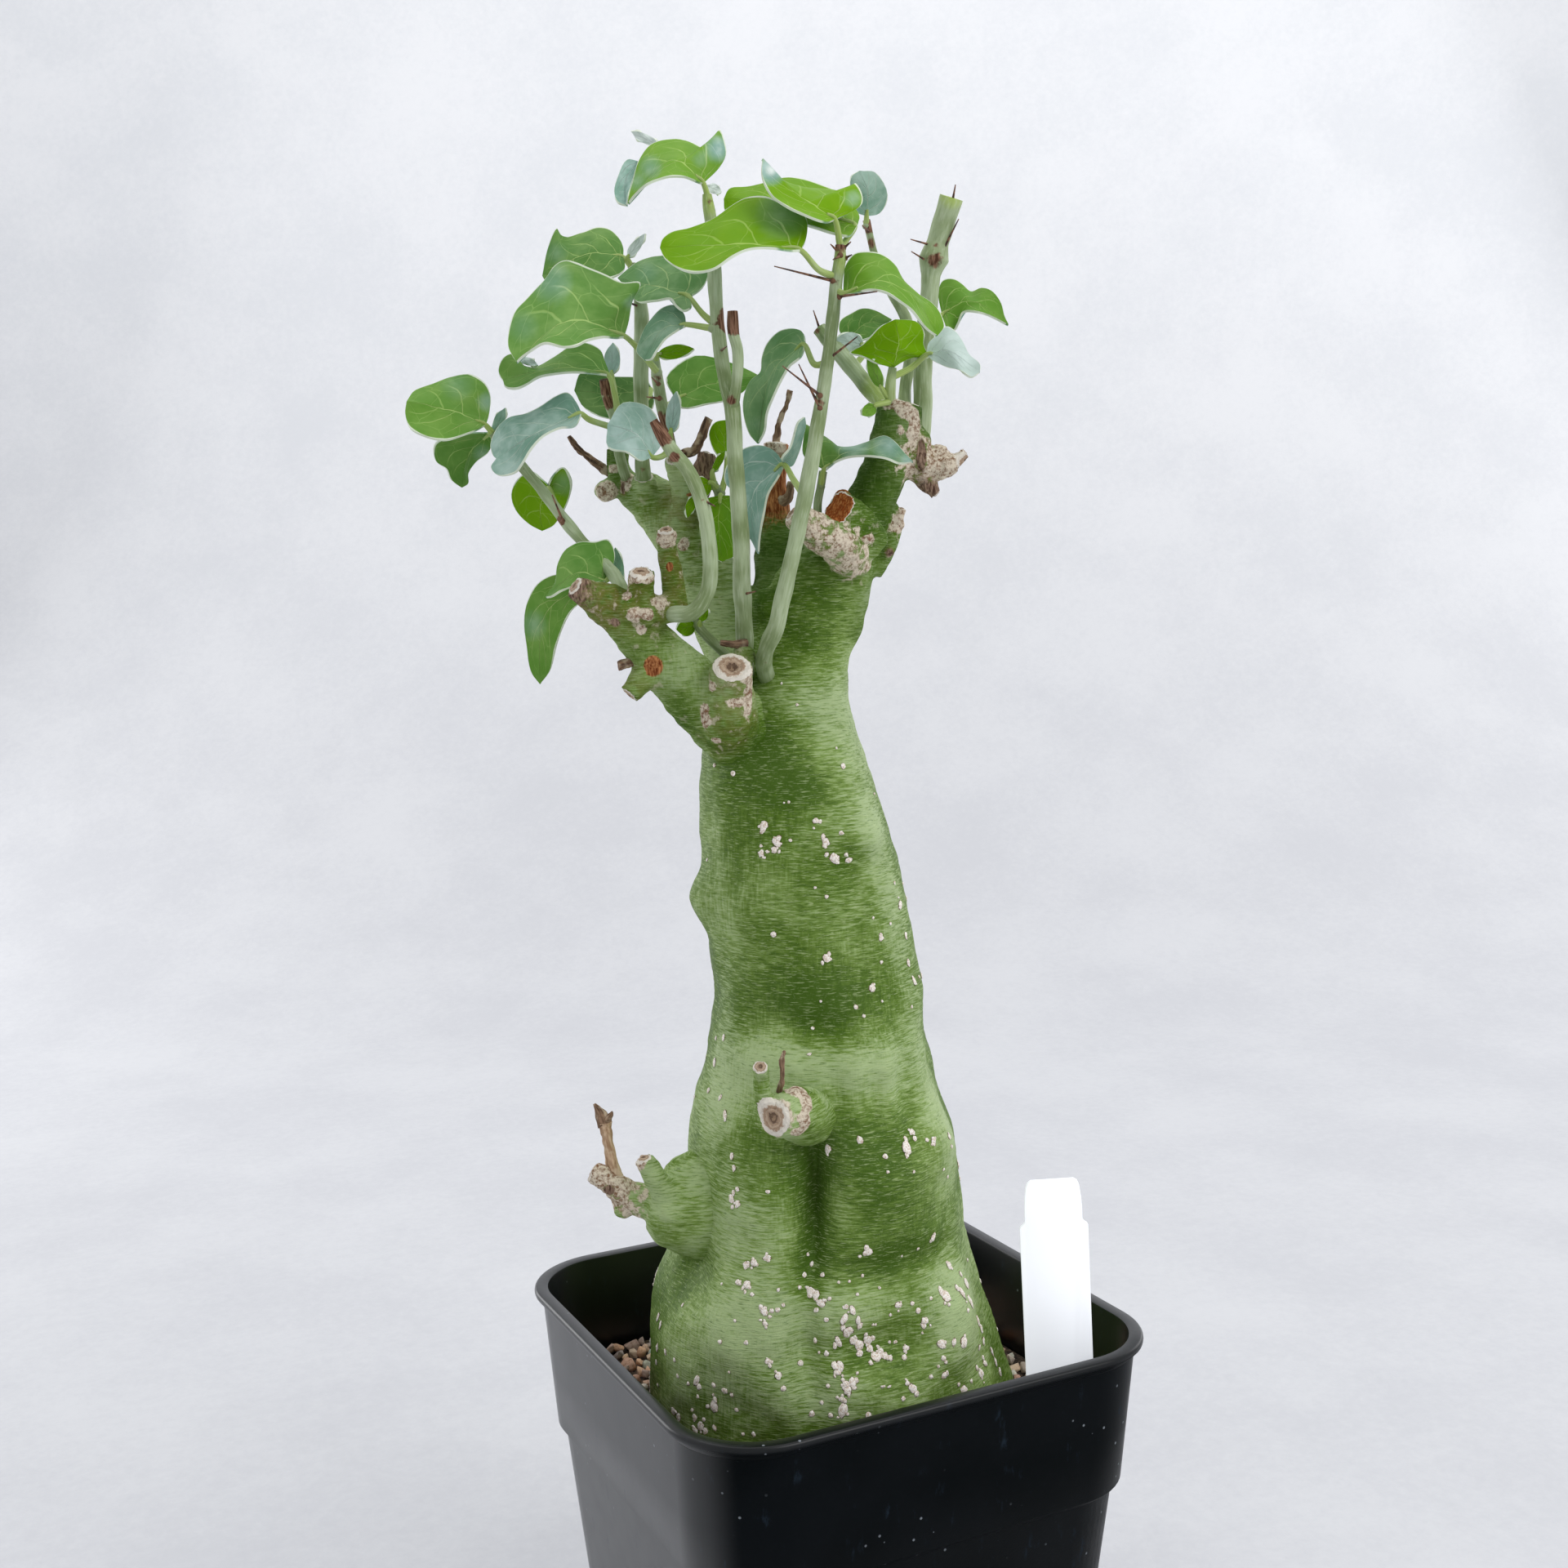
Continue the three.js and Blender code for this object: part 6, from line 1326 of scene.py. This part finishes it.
# The front shoot, with the large top leaves and folded blue-grey leaves half-way up.
grow_shoot("shoot_front", stems=[
    ([(944, 842, 6), (935, 812, 15), (940, 790, 20), (950, 768, 23), (958, 735, 24), (967, 695, 25),
      (977, 650, 25), (987, 600, 25), (996, 555, 25), (1003, 510, 24), (1010, 468, 23), (1016, 425, 23),
      (1020, 385, 22), (1024, 345, 22), (1028, 318, 22), (1029, 300, 22)],
     [1.9, 1.9, 1.8, 1.8, 1.8, 1.7, 1.7, 1.7, 1.6, 1.5, 1.5, 1.4, 1.4, 1.3, 1.3, 1.1]),
], leaves=[
    dict(tone=0.95, bloom=0, grey=[(944, 208, 20, 1.5), (1045, 243, 12, 0.5)],
         rib=[(1023, 268, 24), (985, 244, 27), (934, 194, 25)],
         left=[(1040, 261, 20), (1055, 250, 17), (1055, 236, 15), (1047, 223, 14), (1038, 234, 13),
               (1018, 232, 13), (993, 230, 13), (968, 228, 17), (950, 215, 21)],
         right=[(1012, 270, 30), (990, 263, 33), (965, 253, 33), (946, 240, 31), (936, 224, 29),
                (933, 207, 27)],
         stalk=[(1029, 302, 22)]),
    dict(tone=0.85, bloom=0, rib=[(1050, 276, 15), (960, 247, 12), (886, 243, 8)],
         left=[(1052, 264, 9), (1030, 236, 3), (1004, 226, 1), (980, 218, 1), (960, 217, 1), (935, 223, 2),
               (912, 229, 3), (893, 231, 6)],
         right=[(1040, 288, 21), (1022, 285, 22), (1000, 278, 21), (960, 268, 18), (925, 262, 15),
                (888, 258, 10)],
         stalk=[(1030, 306, 22), (1036, 294, 18)]),
    dict(tone=0.88, bloom=0, grey=[(958, 262, 34, 0.3)],
         rib=[(981, 305, 32), (895, 299, 33), (808, 303, 32)],
         left=[(987, 292, 28), (988, 270, 24), (980, 256, 22), (958, 249, 21), (938, 241, 21),
               (915, 241, 22), (893, 253, 24), (870, 269, 25), (845, 278, 27), (822, 284, 29),
               (811, 293, 31)],
         right=[(965, 305, 36), (940, 303, 38), (915, 306, 40), (895, 315, 41), (873, 328, 41),
                (850, 332, 39), (830, 326, 37), (814, 316, 34)],
         stalk=[(1020, 338, 22), (1002, 330, 27)]),
    dict(tone=0.78, bloom=0.05, rib=[(1032, 360, 24), (1075, 345, 28), (1120, 365, 30), (1148, 411, 31)],
         left=[(1033, 345, 20), (1036, 325, 18), (1046, 311, 17), (1063, 308, 17), (1080, 311, 18),
               (1096, 324, 19), (1109, 344, 21), (1124, 359, 23), (1142, 370, 25), (1153, 385, 27),
               (1156, 400, 29)],
         right=[(1048, 356, 28), (1066, 354, 32), (1085, 358, 34), (1102, 367, 35), (1116, 378, 35),
                (1128, 392, 34), (1138, 403, 33)],
         stalk=[(1025, 356, 22)]),
    dict(tone=0.4, bloom=0.95, rib=[(959, 567, 10), (922, 605, 10), (927, 678, 13)],
         left=[(949, 553, 7), (928, 545, 5), (905, 552, 4), (890, 570, 3), (889, 592, 4), (903, 606, 6),
               (909, 628, 8), (911, 648, 10), (921, 664, 12)],
         right=[(952, 583, 13), (941, 603, 14), (934, 625, 14), (930, 650, 14)],
         stalk=[(985, 608, 24), (972, 588, 17)]),
    dict(tone=0.5, bloom=0.3, grey=[(925, 520, 30, 0.4), (950, 420, 24, 0.35)],
         rib=[(985, 420, 13), (946, 456, 9), (927, 543, 9)],
         left=[(982, 406, 9), (968, 402, 7), (952, 406, 6), (939, 420, 5), (933, 438, 5), (931, 455, 5),
               (918, 468, 6), (910, 488, 7), (911, 512, 8), (918, 532, 9)],
         right=[(980, 436, 17), (966, 447, 17), (957, 462, 16), (945, 486, 15), (938, 507, 13),
                (934, 528, 11)],
         stalk=[(1014, 444, 23), (997, 446, 18)]),
    dict(tone=0.4, bloom=0.9, rib=[(960, 567, 11), (974, 545, 11), (986, 511, 10)],
         left=[(958, 562, 13), (968, 549, 14), (974, 535, 13), (979, 518, 12)],
         right=[(970, 572, 8), (978, 556, 8), (983, 540, 8), (987, 522, 9)]),
], spines=[((1026, 308, 22), (1017, 299, 24)), ((1033, 304, 22), (1042, 296, 23)),
           ((1029, 313, 23), (1020, 318, 25)), ((1035, 316, 22), (1043, 312, 24)),
           ((1020, 344, 23), (948, 326, 26)), ((1028, 363, 23), (1074, 357, 33)),
           ((1004, 484, 25), (958, 448, 27)), ((1014, 440, 23), (1050, 412, 28)),
           ((1004, 500, 25), (978, 446, 21))])

# The leafless shoot that curves up at the front left and has withered at its end.
grow_shoot("shoot_curved", stems=[
    ([(818, 752, 24), (830, 752, 29), (845, 751, 31), (858, 741, 32), (867, 722, 33), (870, 695, 34),
      (868, 660, 34), (862, 625, 34), (852, 595, 33), (840, 572, 32), (826, 556, 31), (812, 534, 30),
      (800, 515, 30)],
     [1.5, 1.7, 1.7, 1.7, 1.6, 1.6, 1.5, 1.5, 1.5, 1.5, 1.5, 1.3, 0.9]),
], spines=[((860, 612, 34), (876, 620, 36))])

# The left shoot, with four leaves at its end and two that hang lower down.
grow_shoot("shoot_left", stems=[
    ([(771, 754, 24), (757, 712, 16), (740, 690, 9), (715, 665, 6), (690, 636, 4), (665, 602, 2),
      (640, 572, 2), (616, 543, 3), (602, 530, 4)],
     [1.6, 1.5, 1.4, 1.3, 1.3, 1.2, 1.2, 1, 0.9]),
], leaves=[
    dict(tone=0.68, bloom=0.08, grey=[(597, 492, 14, 0.6), (560, 470, 26, 0.3)],
         rib=[(595, 520, 5), (548, 502, 8), (498, 491, 11)],
         left=[(599, 508, 1), (601, 488, -3), (594, 468, -5), (576, 458, -5), (552, 461, -2), (528, 470, 1),
               (507, 479, 5)],
         right=[(585, 526, 9), (562, 533, 13), (543, 538, 15), (520, 534, 15), (503, 524, 14),
                (496, 506, 12)],
         stalk=[(606, 534, 3.5)]),
    dict(tone=0.5, bloom=0.1, grey=[(590, 555, 14, 0.45)],
         rib=[(599, 531, -2), (574, 558, -3), (565, 597, -5)],
         left=[(575, 532, 1), (545, 537, 2), (532, 546, 2), (534, 565, 0), (547, 574, -2), (553, 588, -3)],
         right=[(602, 542, -4), (597, 555, -6), (583, 567, -7), (574, 580, -7), (573, 592, -6)],
         stalk=[(607, 537, 3)]),
    small((604, 532, 3), (618, 499, 4), 7, tone=0.5, bloom=0.8, stalk=[(610, 540, 3)]),
    dict(tone=0.95, bloom=0, grey=[(690, 592, 16, 0.3)],
         rib=[(672, 596, -5), (662, 622, -9), (664, 650, -12)],
         left=[(664, 588, -6), (650, 578, -7), (634, 586, -9), (626, 606, -10), (632, 626, -11),
               (647, 641, -12)],
         right=[(680, 582, -4), (690, 573, -3), (699, 588, -3), (696, 610, -5), (686, 632, -8),
                (677, 644, -10)],
         stalk=[(684, 630, 3), (678, 612, -2)]),
    dict(tone=0.6, bloom=0.12, rib=[(743, 712, 13), (705, 702, 15), (668, 731, 18)],
         left=[(749, 697, 10), (753, 678, 8), (745, 661, 6), (730, 664, 7), (708, 664, 9), (692, 673, 11),
               (683, 690, 13), (679, 711, 15)],
         right=[(732, 713, 16), (706, 716, 18), (688, 722, 19), (675, 730, 19)], stalk=[(752, 700, 12)]),
    dict(tone=0.68, bloom=0.1, grey=[(652, 765, 22, 0.4)],
         rib=[(722, 714, 11), (668, 752, 9), (661, 838, 6)],
         left=[(700, 703, 10), (678, 704, 9), (658, 715, 8), (645, 738, 6), (642, 765, 6), (645, 797, 5),
               (651, 824, 5)],
         right=[(717, 730, 13), (700, 747, 12), (689, 766, 11), (680, 792, 9), (673, 822, 7)],
         stalk=[(742, 692, 10)]),
    small((757, 718, 7), (753, 670, 4), 9, tone=0.35, bloom=0.6),
], spines=[((690, 640, 5), (676, 606, 9))])

# The inner left shoot, with a long lobed leaf.
grow_shoot("shoot_left_inner", stems=[
    ([(769, 594, -19), (759, 558, -11), (755, 522, -4), (749, 500, -1), (744, 484, 0), (741, 465, 1)],
     [1.2, 1.2, 1.1, 1.3, 1.3, 1.3]),
], leaves=[
    dict(tone=0.6, bloom=0.1, rib=[(747, 459, 2), (700, 450, 5), (650, 456, 9), (616, 465, 11)],
         left=[(741, 442, -3), (735, 428, -6), (715, 420, -5), (696, 425, -3), (676, 438, 0), (655, 449, 2),
               (640, 446, 4), (629, 433, 5), (616, 438, 7), (610, 453, 9)],
         right=[(722, 456, 6), (690, 456, 9), (662, 460, 11), (646, 469, 13), (630, 475, 14),
                (618, 472, 13)],
         stalk=[(756, 512, -3), (753, 484, 3)]),
    small((749, 459, -4), (750, 419, -6), 10, tone=0.4, bloom=1.15, stalk=[(754, 514, -3), (753, 482, -5)]),
    dict(tone=0.25, bloom=0.85, rib=[(712, 505, 12), (655, 531, 17), (607, 561, 14)],
         left=[(706, 494, 9), (695, 481, 8), (680, 485, 8), (660, 499, 9), (642, 507, 9), (622, 512, 10),
               (607, 526, 10), (600, 545, 11), (603, 557, 12)],
         right=[(704, 521, 17), (683, 524, 18), (663, 533, 20), (648, 550, 20), (638, 567, 19),
                (628, 579, 17), (610, 582, 16), (601, 572, 15)],
         stalk=[(756, 525, -4), (736, 519, 3), (720, 513, 10)]),
    small((634, 438, 5), (659, 447, 5), 5, tone=0.4, bloom=1.3),
])

# The upright shoot at the back left.
grow_shoot("shoot_back_left", stems=[
    ([(789, 596, -15), (787, 574, -12), (786, 540, -12), (785, 480, -12), (785, 430, -12), (785, 380, -13),
      (780, 345, -14), (774, 324, -15)],
     [1.8, 1.8, 1.75, 1.75, 1.7, 1.6, 1.3, 1]),
], leaves=[
    dict(tone=0.42, bloom=0.12, grey=[(680, 310, 20, 0.35)],
         rib=[(763, 314, -16), (715, 312, -12), (664, 338, -11)],
         left=[(763, 303, -18), (757, 290, -20), (745, 280, -21), (730, 278, -21), (712, 285, -20),
               (696, 290, -18), (688, 287, -17), (682, 279, -16), (671, 302, -14)],
         right=[(765, 328, -12), (752, 338, -8), (725, 346, -7), (695, 350, -6), (672, 350, -8)],
         stalk=[(774, 327, -15)]),
    small((768, 316, -14), (790, 286, -11), 6, tone=0.4, bloom=1.35, stalk=[(776, 332, -15)]),
    dict(tone=0.3, bloom=0.15, rib=[(798, 476, -18), (752, 482, -21), (703, 478, -24)],
         left=[(790, 464, -19), (750, 461, -21), (712, 456, -24)],
         right=[(798, 500, -17), (754, 513, -19), (716, 500, -22)],
         stalk=[(786, 492, -13), (795, 484, -16)]),
], spines=[((784, 376, -13), (764, 368, -8))])

# The knotted shoot, with the largest leaf on the left.
grow_shoot("shoot_knotted", stems=[
    ([(836, 588, -9), (825, 556, -2), (816, 520, 0), (809, 487, 0), (804, 458, 0), (803, 438, 0)],
     [1.2, 1.2, 1.2, 1.4, 1.2, 0.8]),
], leaves=[
    dict(tone=0.66, bloom=0.12, grey=[(676, 345, 30, 0.6), (640, 400, 26, 0.35), (774, 370, 12, 0.55)],
         rib=[(765, 411, 16), (695, 393, 22), (632, 443, 27)],
         left=[(769, 398, 14), (774, 372, 11), (784, 346, 9), (762, 346, 8), (743, 337, 7), (724, 328, 6),
               (706, 321, 6), (692, 319, 6), (679, 326, 7), (666, 342, 9), (648, 361, 12), (632, 380, 15),
               (623, 402, 19), (622, 424, 23)],
         right=[(755, 412, 22), (738, 411, 26), (720, 416, 28), (706, 423, 30), (690, 424, 30),
                (667, 419, 30), (650, 427, 29), (638, 436, 28)],
         stalk=[(805, 456, 1), (784, 430, 7)]),
    small((804, 434, 1), (850, 427, 3), 9, tone=1, bloom=0, stalk=[(803, 444, 0)]),
    small((821, 531, 4), (828, 479, 5), 9, tone=0.4, bloom=1.15, stalk=[(820, 540, -1)]),
    dict(tone=0.5, bloom=1.1, rib=[(798, 560, 12), (777, 530, 15), (744, 519, 16)],
         left=[(812, 538, 5), (797, 500, 5), (763, 493, 11)],
         right=[(786, 564, 16), (766, 552, 18), (744, 547, 17)], stalk=[(822, 546, -1), (812, 558, 5)]),
    dict(tone=0.6, bloom=0.1, rib=[(828, 488, -14), (872, 470, -18), (931, 461, -20)],
         left=[(816, 462, -16), (850, 436, -20), (902, 446, -22)],
         right=[(836, 499, -12), (868, 494, -15), (902, 485, -18)], stalk=[(811, 498, 0), (820, 495, -8)]),
], spines=[((806, 470, 1), (798, 462, 5)), ((808, 488, 1), (792, 486, 4))])

# The thick right shoot, cut at its top, with a swollen node and one drooping leaf.
grow_shoot("shoot_right", stems=[
    ([(1112, 560, 0), (1126, 536, -3), (1130, 500, -4), (1130, 460, -4), (1132, 420, -4), (1137, 370, -4),
      (1140, 338, -4), (1143, 318, -4), (1148, 297, -4), (1157, 268, -3), (1165, 242, -2)],
     [2, 2.1, 2.1, 2.1, 2.1, 2, 2.1, 3.4, 2.4, 2.5, 2.6]),
], leaves=[
    dict(tone=0.72, bloom=0.08, rib=[(1153, 385, -12), (1190, 368, -9), (1235, 397, -6)],
         left=[(1149, 360, -15), (1155, 343, -16), (1168, 342, -15), (1178, 348, -14), (1189, 357, -13),
               (1202, 353, -12), (1215, 357, -11), (1226, 371, -9), (1230, 386, -7)],
         right=[(1158, 398, -9), (1166, 405, -9), (1172, 396, -8), (1179, 381, -8), (1197, 381, -6),
                (1215, 386, -6)],
         stalk=[(1136, 392, -5), (1146, 394, -10)]),
], spines=[((1146, 302, -4), (1115, 293, 0)), ((1142, 324, -4), (1116, 308, 1)),
           ((1166, 248, -1), (1170, 226, 0)), ((1152, 312, -3), (1174, 268, -1))])

# The short thick shoot that leans in from the right limb.
grow_shoot("shoot_inner", stems=[
    ([(1089, 514, 3), (1076, 490, -3), (1058, 468, -6), (1038, 444, -8), (1018, 420, -10),
      (1003, 402, -11)],
     [2, 2, 2, 1.9, 1.8, 1.7]),
], leaves=[
    dict(tone=0.38, bloom=0.1, rib=[(1038, 415, -16), (1062, 396, -17), (1092, 391, -18)],
         left=[(1028, 405, -17), (1029, 392, -18), (1042, 383, -19), (1056, 378, -19), (1072, 380, -20),
               (1084, 386, -19)],
         right=[(1050, 417, -14), (1066, 413, -14), (1080, 402, -16)], stalk=[(1024, 430, -10)]),
    small((1058, 422, -10), (1023, 415, -8), 12, tone=0.5, bloom=1.25,
          stalk=[(1042, 450, -8), (1056, 436, -9)]),
], spines=[((1004, 404, -11), (996, 380, -9))])

# The thin shoot behind the right one, with one blue-grey leaf at its end.
grow_shoot("shoot_thin", stems=[
    ([(1112, 528, 2), (1108, 480, -8), (1115, 430, -12), (1110, 392, -14), (1092, 358, -15),
      (1073, 318, -15), (1066, 292, -15), (1061, 270, -15)],
     [1.4, 1.4, 1.3, 1.3, 1.2, 0.9, 0.8, 0.8]),
], leaves=[
    dict(tone=0.4, bloom=0.8, rib=[(1061, 265, -14), (1063, 236, -11), (1053, 209, -9)],
         left=[(1046, 258, -12), (1041, 234, -10), (1043, 216, -9)],
         right=[(1077, 261, -17), (1087, 239, -15), (1072, 211, -11)], stalk=[(1061, 277, -15)]),
], spines=[((1065, 285, -15), (1056, 276, -11))])

# The tuft between the right shoots, with a bright leaf and a folded grey one.
grow_shoot("shoot_crown", stems=[
    ([(1098, 516, 6), (1090, 488, 8), (1091, 466, 10), (1093, 450, 10)], [1.1, 1.1, 1, 0.9]),
], leaves=[
    dict(tone=0.95, bloom=0, rib=[(1094, 451, 10), (1100, 424, 13), (1096, 391, 14)],
         left=[(1078, 446, 12), (1056, 436, 12), (1040, 432, 12), (1054, 424, 12), (1067, 412, 13),
               (1080, 399, 14)],
         right=[(1104, 445, 9), (1120, 438, 8), (1138, 438, 7), (1131, 422, 7), (1132, 408, 8),
                (1122, 394, 10)]),
    dict(tone=0.5, bloom=1.25, rib=[(1134, 434, 9), (1162, 430, 14), (1200, 455, 18)],
         left=[(1137, 420, 6), (1148, 409, 7), (1159, 399, 8), (1170, 405, 10), (1179, 418, 12),
               (1187, 434, 14), (1200, 446, 17)],
         right=[(1144, 442, 12), (1160, 450, 15), (1176, 453, 18), (1190, 461, 19)],
         stalk=[(1092, 462, 10), (1116, 450, 7)]),
    small((1080, 476, 10), (1062, 436, 12), 8, tone=0.9, bloom=0.1, stalk=[(1090, 490, 8)]),
    small((1072, 496, 12), (1056, 509, 14), 8, tone=0.9, bloom=0.1, stalk=[(1090, 492, 8)]),
])

# The shoot with one long leaf that reaches right.
grow_shoot("shoot_wing", stems=[
    ([(1010, 698, 1), (1004, 668, 8), (1001, 620, 7), (1005, 596, 7), (1008, 578, 8)],
     [1.1, 1, 0.9, 0.9, 0.9]),
], leaves=[
    dict(tone=0.32, bloom=0.1, grey=[(1045, 540, 26, 0.9), (1090, 545, 26, 0.95), (1112, 563, 14, 0.95)],
         rib=[(1008, 575, 9), (1042, 553, 13), (1118, 565, 18)],
         left=[(984, 558, 7), (984, 535, 5), (985, 519, 3), (998, 527, 3), (1012, 535, 4), (1024, 545, 5),
               (1042, 546, 6), (1060, 542, 8), (1083, 533, 10), (1097, 541, 13), (1108, 554, 15)],
         right=[(1020, 566, 12), (1038, 559, 15), (1058, 558, 17), (1085, 560, 18), (1103, 566, 18)],
         stalk=[(1005, 596, 7)]),
])

# The tuft of new growth at the back.
grow_shoot("shoot_tuft", stems=[
    ([(847, 674, -13), (875, 640, -17), (880, 606, -10), (872, 590, -7)], [1.2, 1.2, 1.1, 1]),
], leaves=[
    dict(tone=0.7, bloom=0, rib=[(882, 606, -5), (880, 645, 0), (884, 688, 2)],
         left=[(862, 612, -6), (856, 645, -1), (866, 678, 1)],
         right=[(900, 610, -7), (905, 645, -2), (900, 680, 1)], stalk=[(883, 608, -9)]),
    dict(tone=0.9, bloom=0, rib=[(890, 562, -12), (887, 538, -13), (891, 514, -14)],
         left=[(878, 556, -12), (868, 532, -12), (876, 517, -13)],
         right=[(900, 556, -13), (903, 535, -14), (899, 518, -14)],
         stalk=[(883, 604, -9), (889, 580, -11)]),
    small((870, 590, -5), (848, 604, -2), 13, tone=1, bloom=0, stalk=[(878, 598, -8)]),
    small((872, 578, -5), (888, 552, -3), 5, tone=0.9, bloom=0, stalk=[(874, 592, -7)]),
    small((850, 607, -6), (841, 634, -6), 6, tone=0.9, bloom=0, stalk=[(876, 596, -8), (860, 598, -7)]),
])

# The low shoot with tiny leaves beside the front stub.
grow_shoot("shoot_low", stems=[
    ([(905, 824, -1), (886, 799, 8), (868, 782, 9), (856, 768, 9), (852, 758, 9)], [1.3, 1.2, 1.1, 1, 0.8]),
], leaves=[
    small((852, 766, 9), (828, 771, 11), 11, tone=0.85, bloom=0, stalk=[(860, 772, 9)]),
    small((857, 762, 10), (867, 745, 11), 5, tone=0.9, bloom=0, stalk=[(856, 770, 9)]),
])

# The room: the plant stands on a pale plaster sweep, in soft light from the ceiling and from windows
# on both sides and in front. The sizes of the room are in metres.

SWEEP_HALF = 2.6
SWEEP_FRONT = -1.6
SWEEP_BACK = 1.15
SWEEP_BEND = 0.55
SWEEP_TALL = 2.2
SWEEP_DROP = 0.0004  # how far the floor lies under the pot
WORLD_LIGHT = 0.7
LIT_HEIGHT = 0.2
# Each light is (name, place, size, watts), in metres.
LIGHTS = [
    ("ceiling", (0.1, 0.2, 1.6), 1.2, 6), ("left window", (-0.55, 0.95, 0.4), 0.6, 3.2),
    ("right window", (1.2, 0.3, 0.6), 0.7, 2.5), ("front window", (0.45, -1.05, 1), 0.8, 6),
]


def on_sweep(u, v):
    flat = SWEEP_BACK - SWEEP_BEND - SWEEP_FRONT
    curve = math.pi / 2 * SWEEP_BEND
    run = v * (flat + curve + SWEEP_TALL)
    if run < flat:
        depth, height = SWEEP_FRONT + run, 0
    elif run < flat + curve:
        angle = (run - flat) / SWEEP_BEND
        depth = SWEEP_BACK - SWEEP_BEND + SWEEP_BEND * math.sin(angle)
        height = SWEEP_BEND * (1 - math.cos(angle))
    else:
        depth, height = SWEEP_BACK, SWEEP_BEND + run - flat - curve
    return level * ((u - 0.5) * 2 * SWEEP_HALF) - toward * depth + UP * (height - SWEEP_DROP)


plaster = Paint("plaster")
# Painted light: the sweep is painted darker near the floor and lighter towards the top.
rise = plaster.ramp(plaster.axis("Z"), -50, 800)
pale = plaster.mix(rise, colour("d4d5d8"), colour("fafbfd"))
grey = plaster.mix(rise, colour("cbccd0"), colour("f1f3f6"))
cloudy = plaster.grain(0.009, 7, 0.62) * 0.6 + plaster.grain(0.2, 5, 0.8) * 0.4
plaster.wear(base_color=plaster.mix(plaster.ramp(cloudy, 0.36, 0.64), grey, pale), roughness=0.9,
             specular_ior_level=0.05)
bm = mesh_start()
stretch(bm, 4, 60, on_sweep)
sweep_mesh = as_mesh("sweep", bm)
sweep_mesh.materials.append(plaster.material)
sweep_mesh.shade_smooth()
sweep = placed("sweep", sweep_mesh)

world = bpy.data.worlds.new("room")
world.use_nodes = True
background = world.node_tree.nodes["Background"].inputs
background["Color"].default_value = colour("f8f9fc")
background["Strength"].default_value = WORLD_LIGHT
bpy.context.scene.world = world
for name, place, size, power in LIGHTS:
    lamp = bpy.data.lights.new(name, "AREA")
    lamp.size = size
    lamp.energy = power
    light = placed(name, lamp)
    light.location = place
    light.rotation_mode = "QUATERNION"
    light.rotation_quaternion = (Vector(place) - UP * LIT_HEIGHT).to_track_quat("Z", "Y")
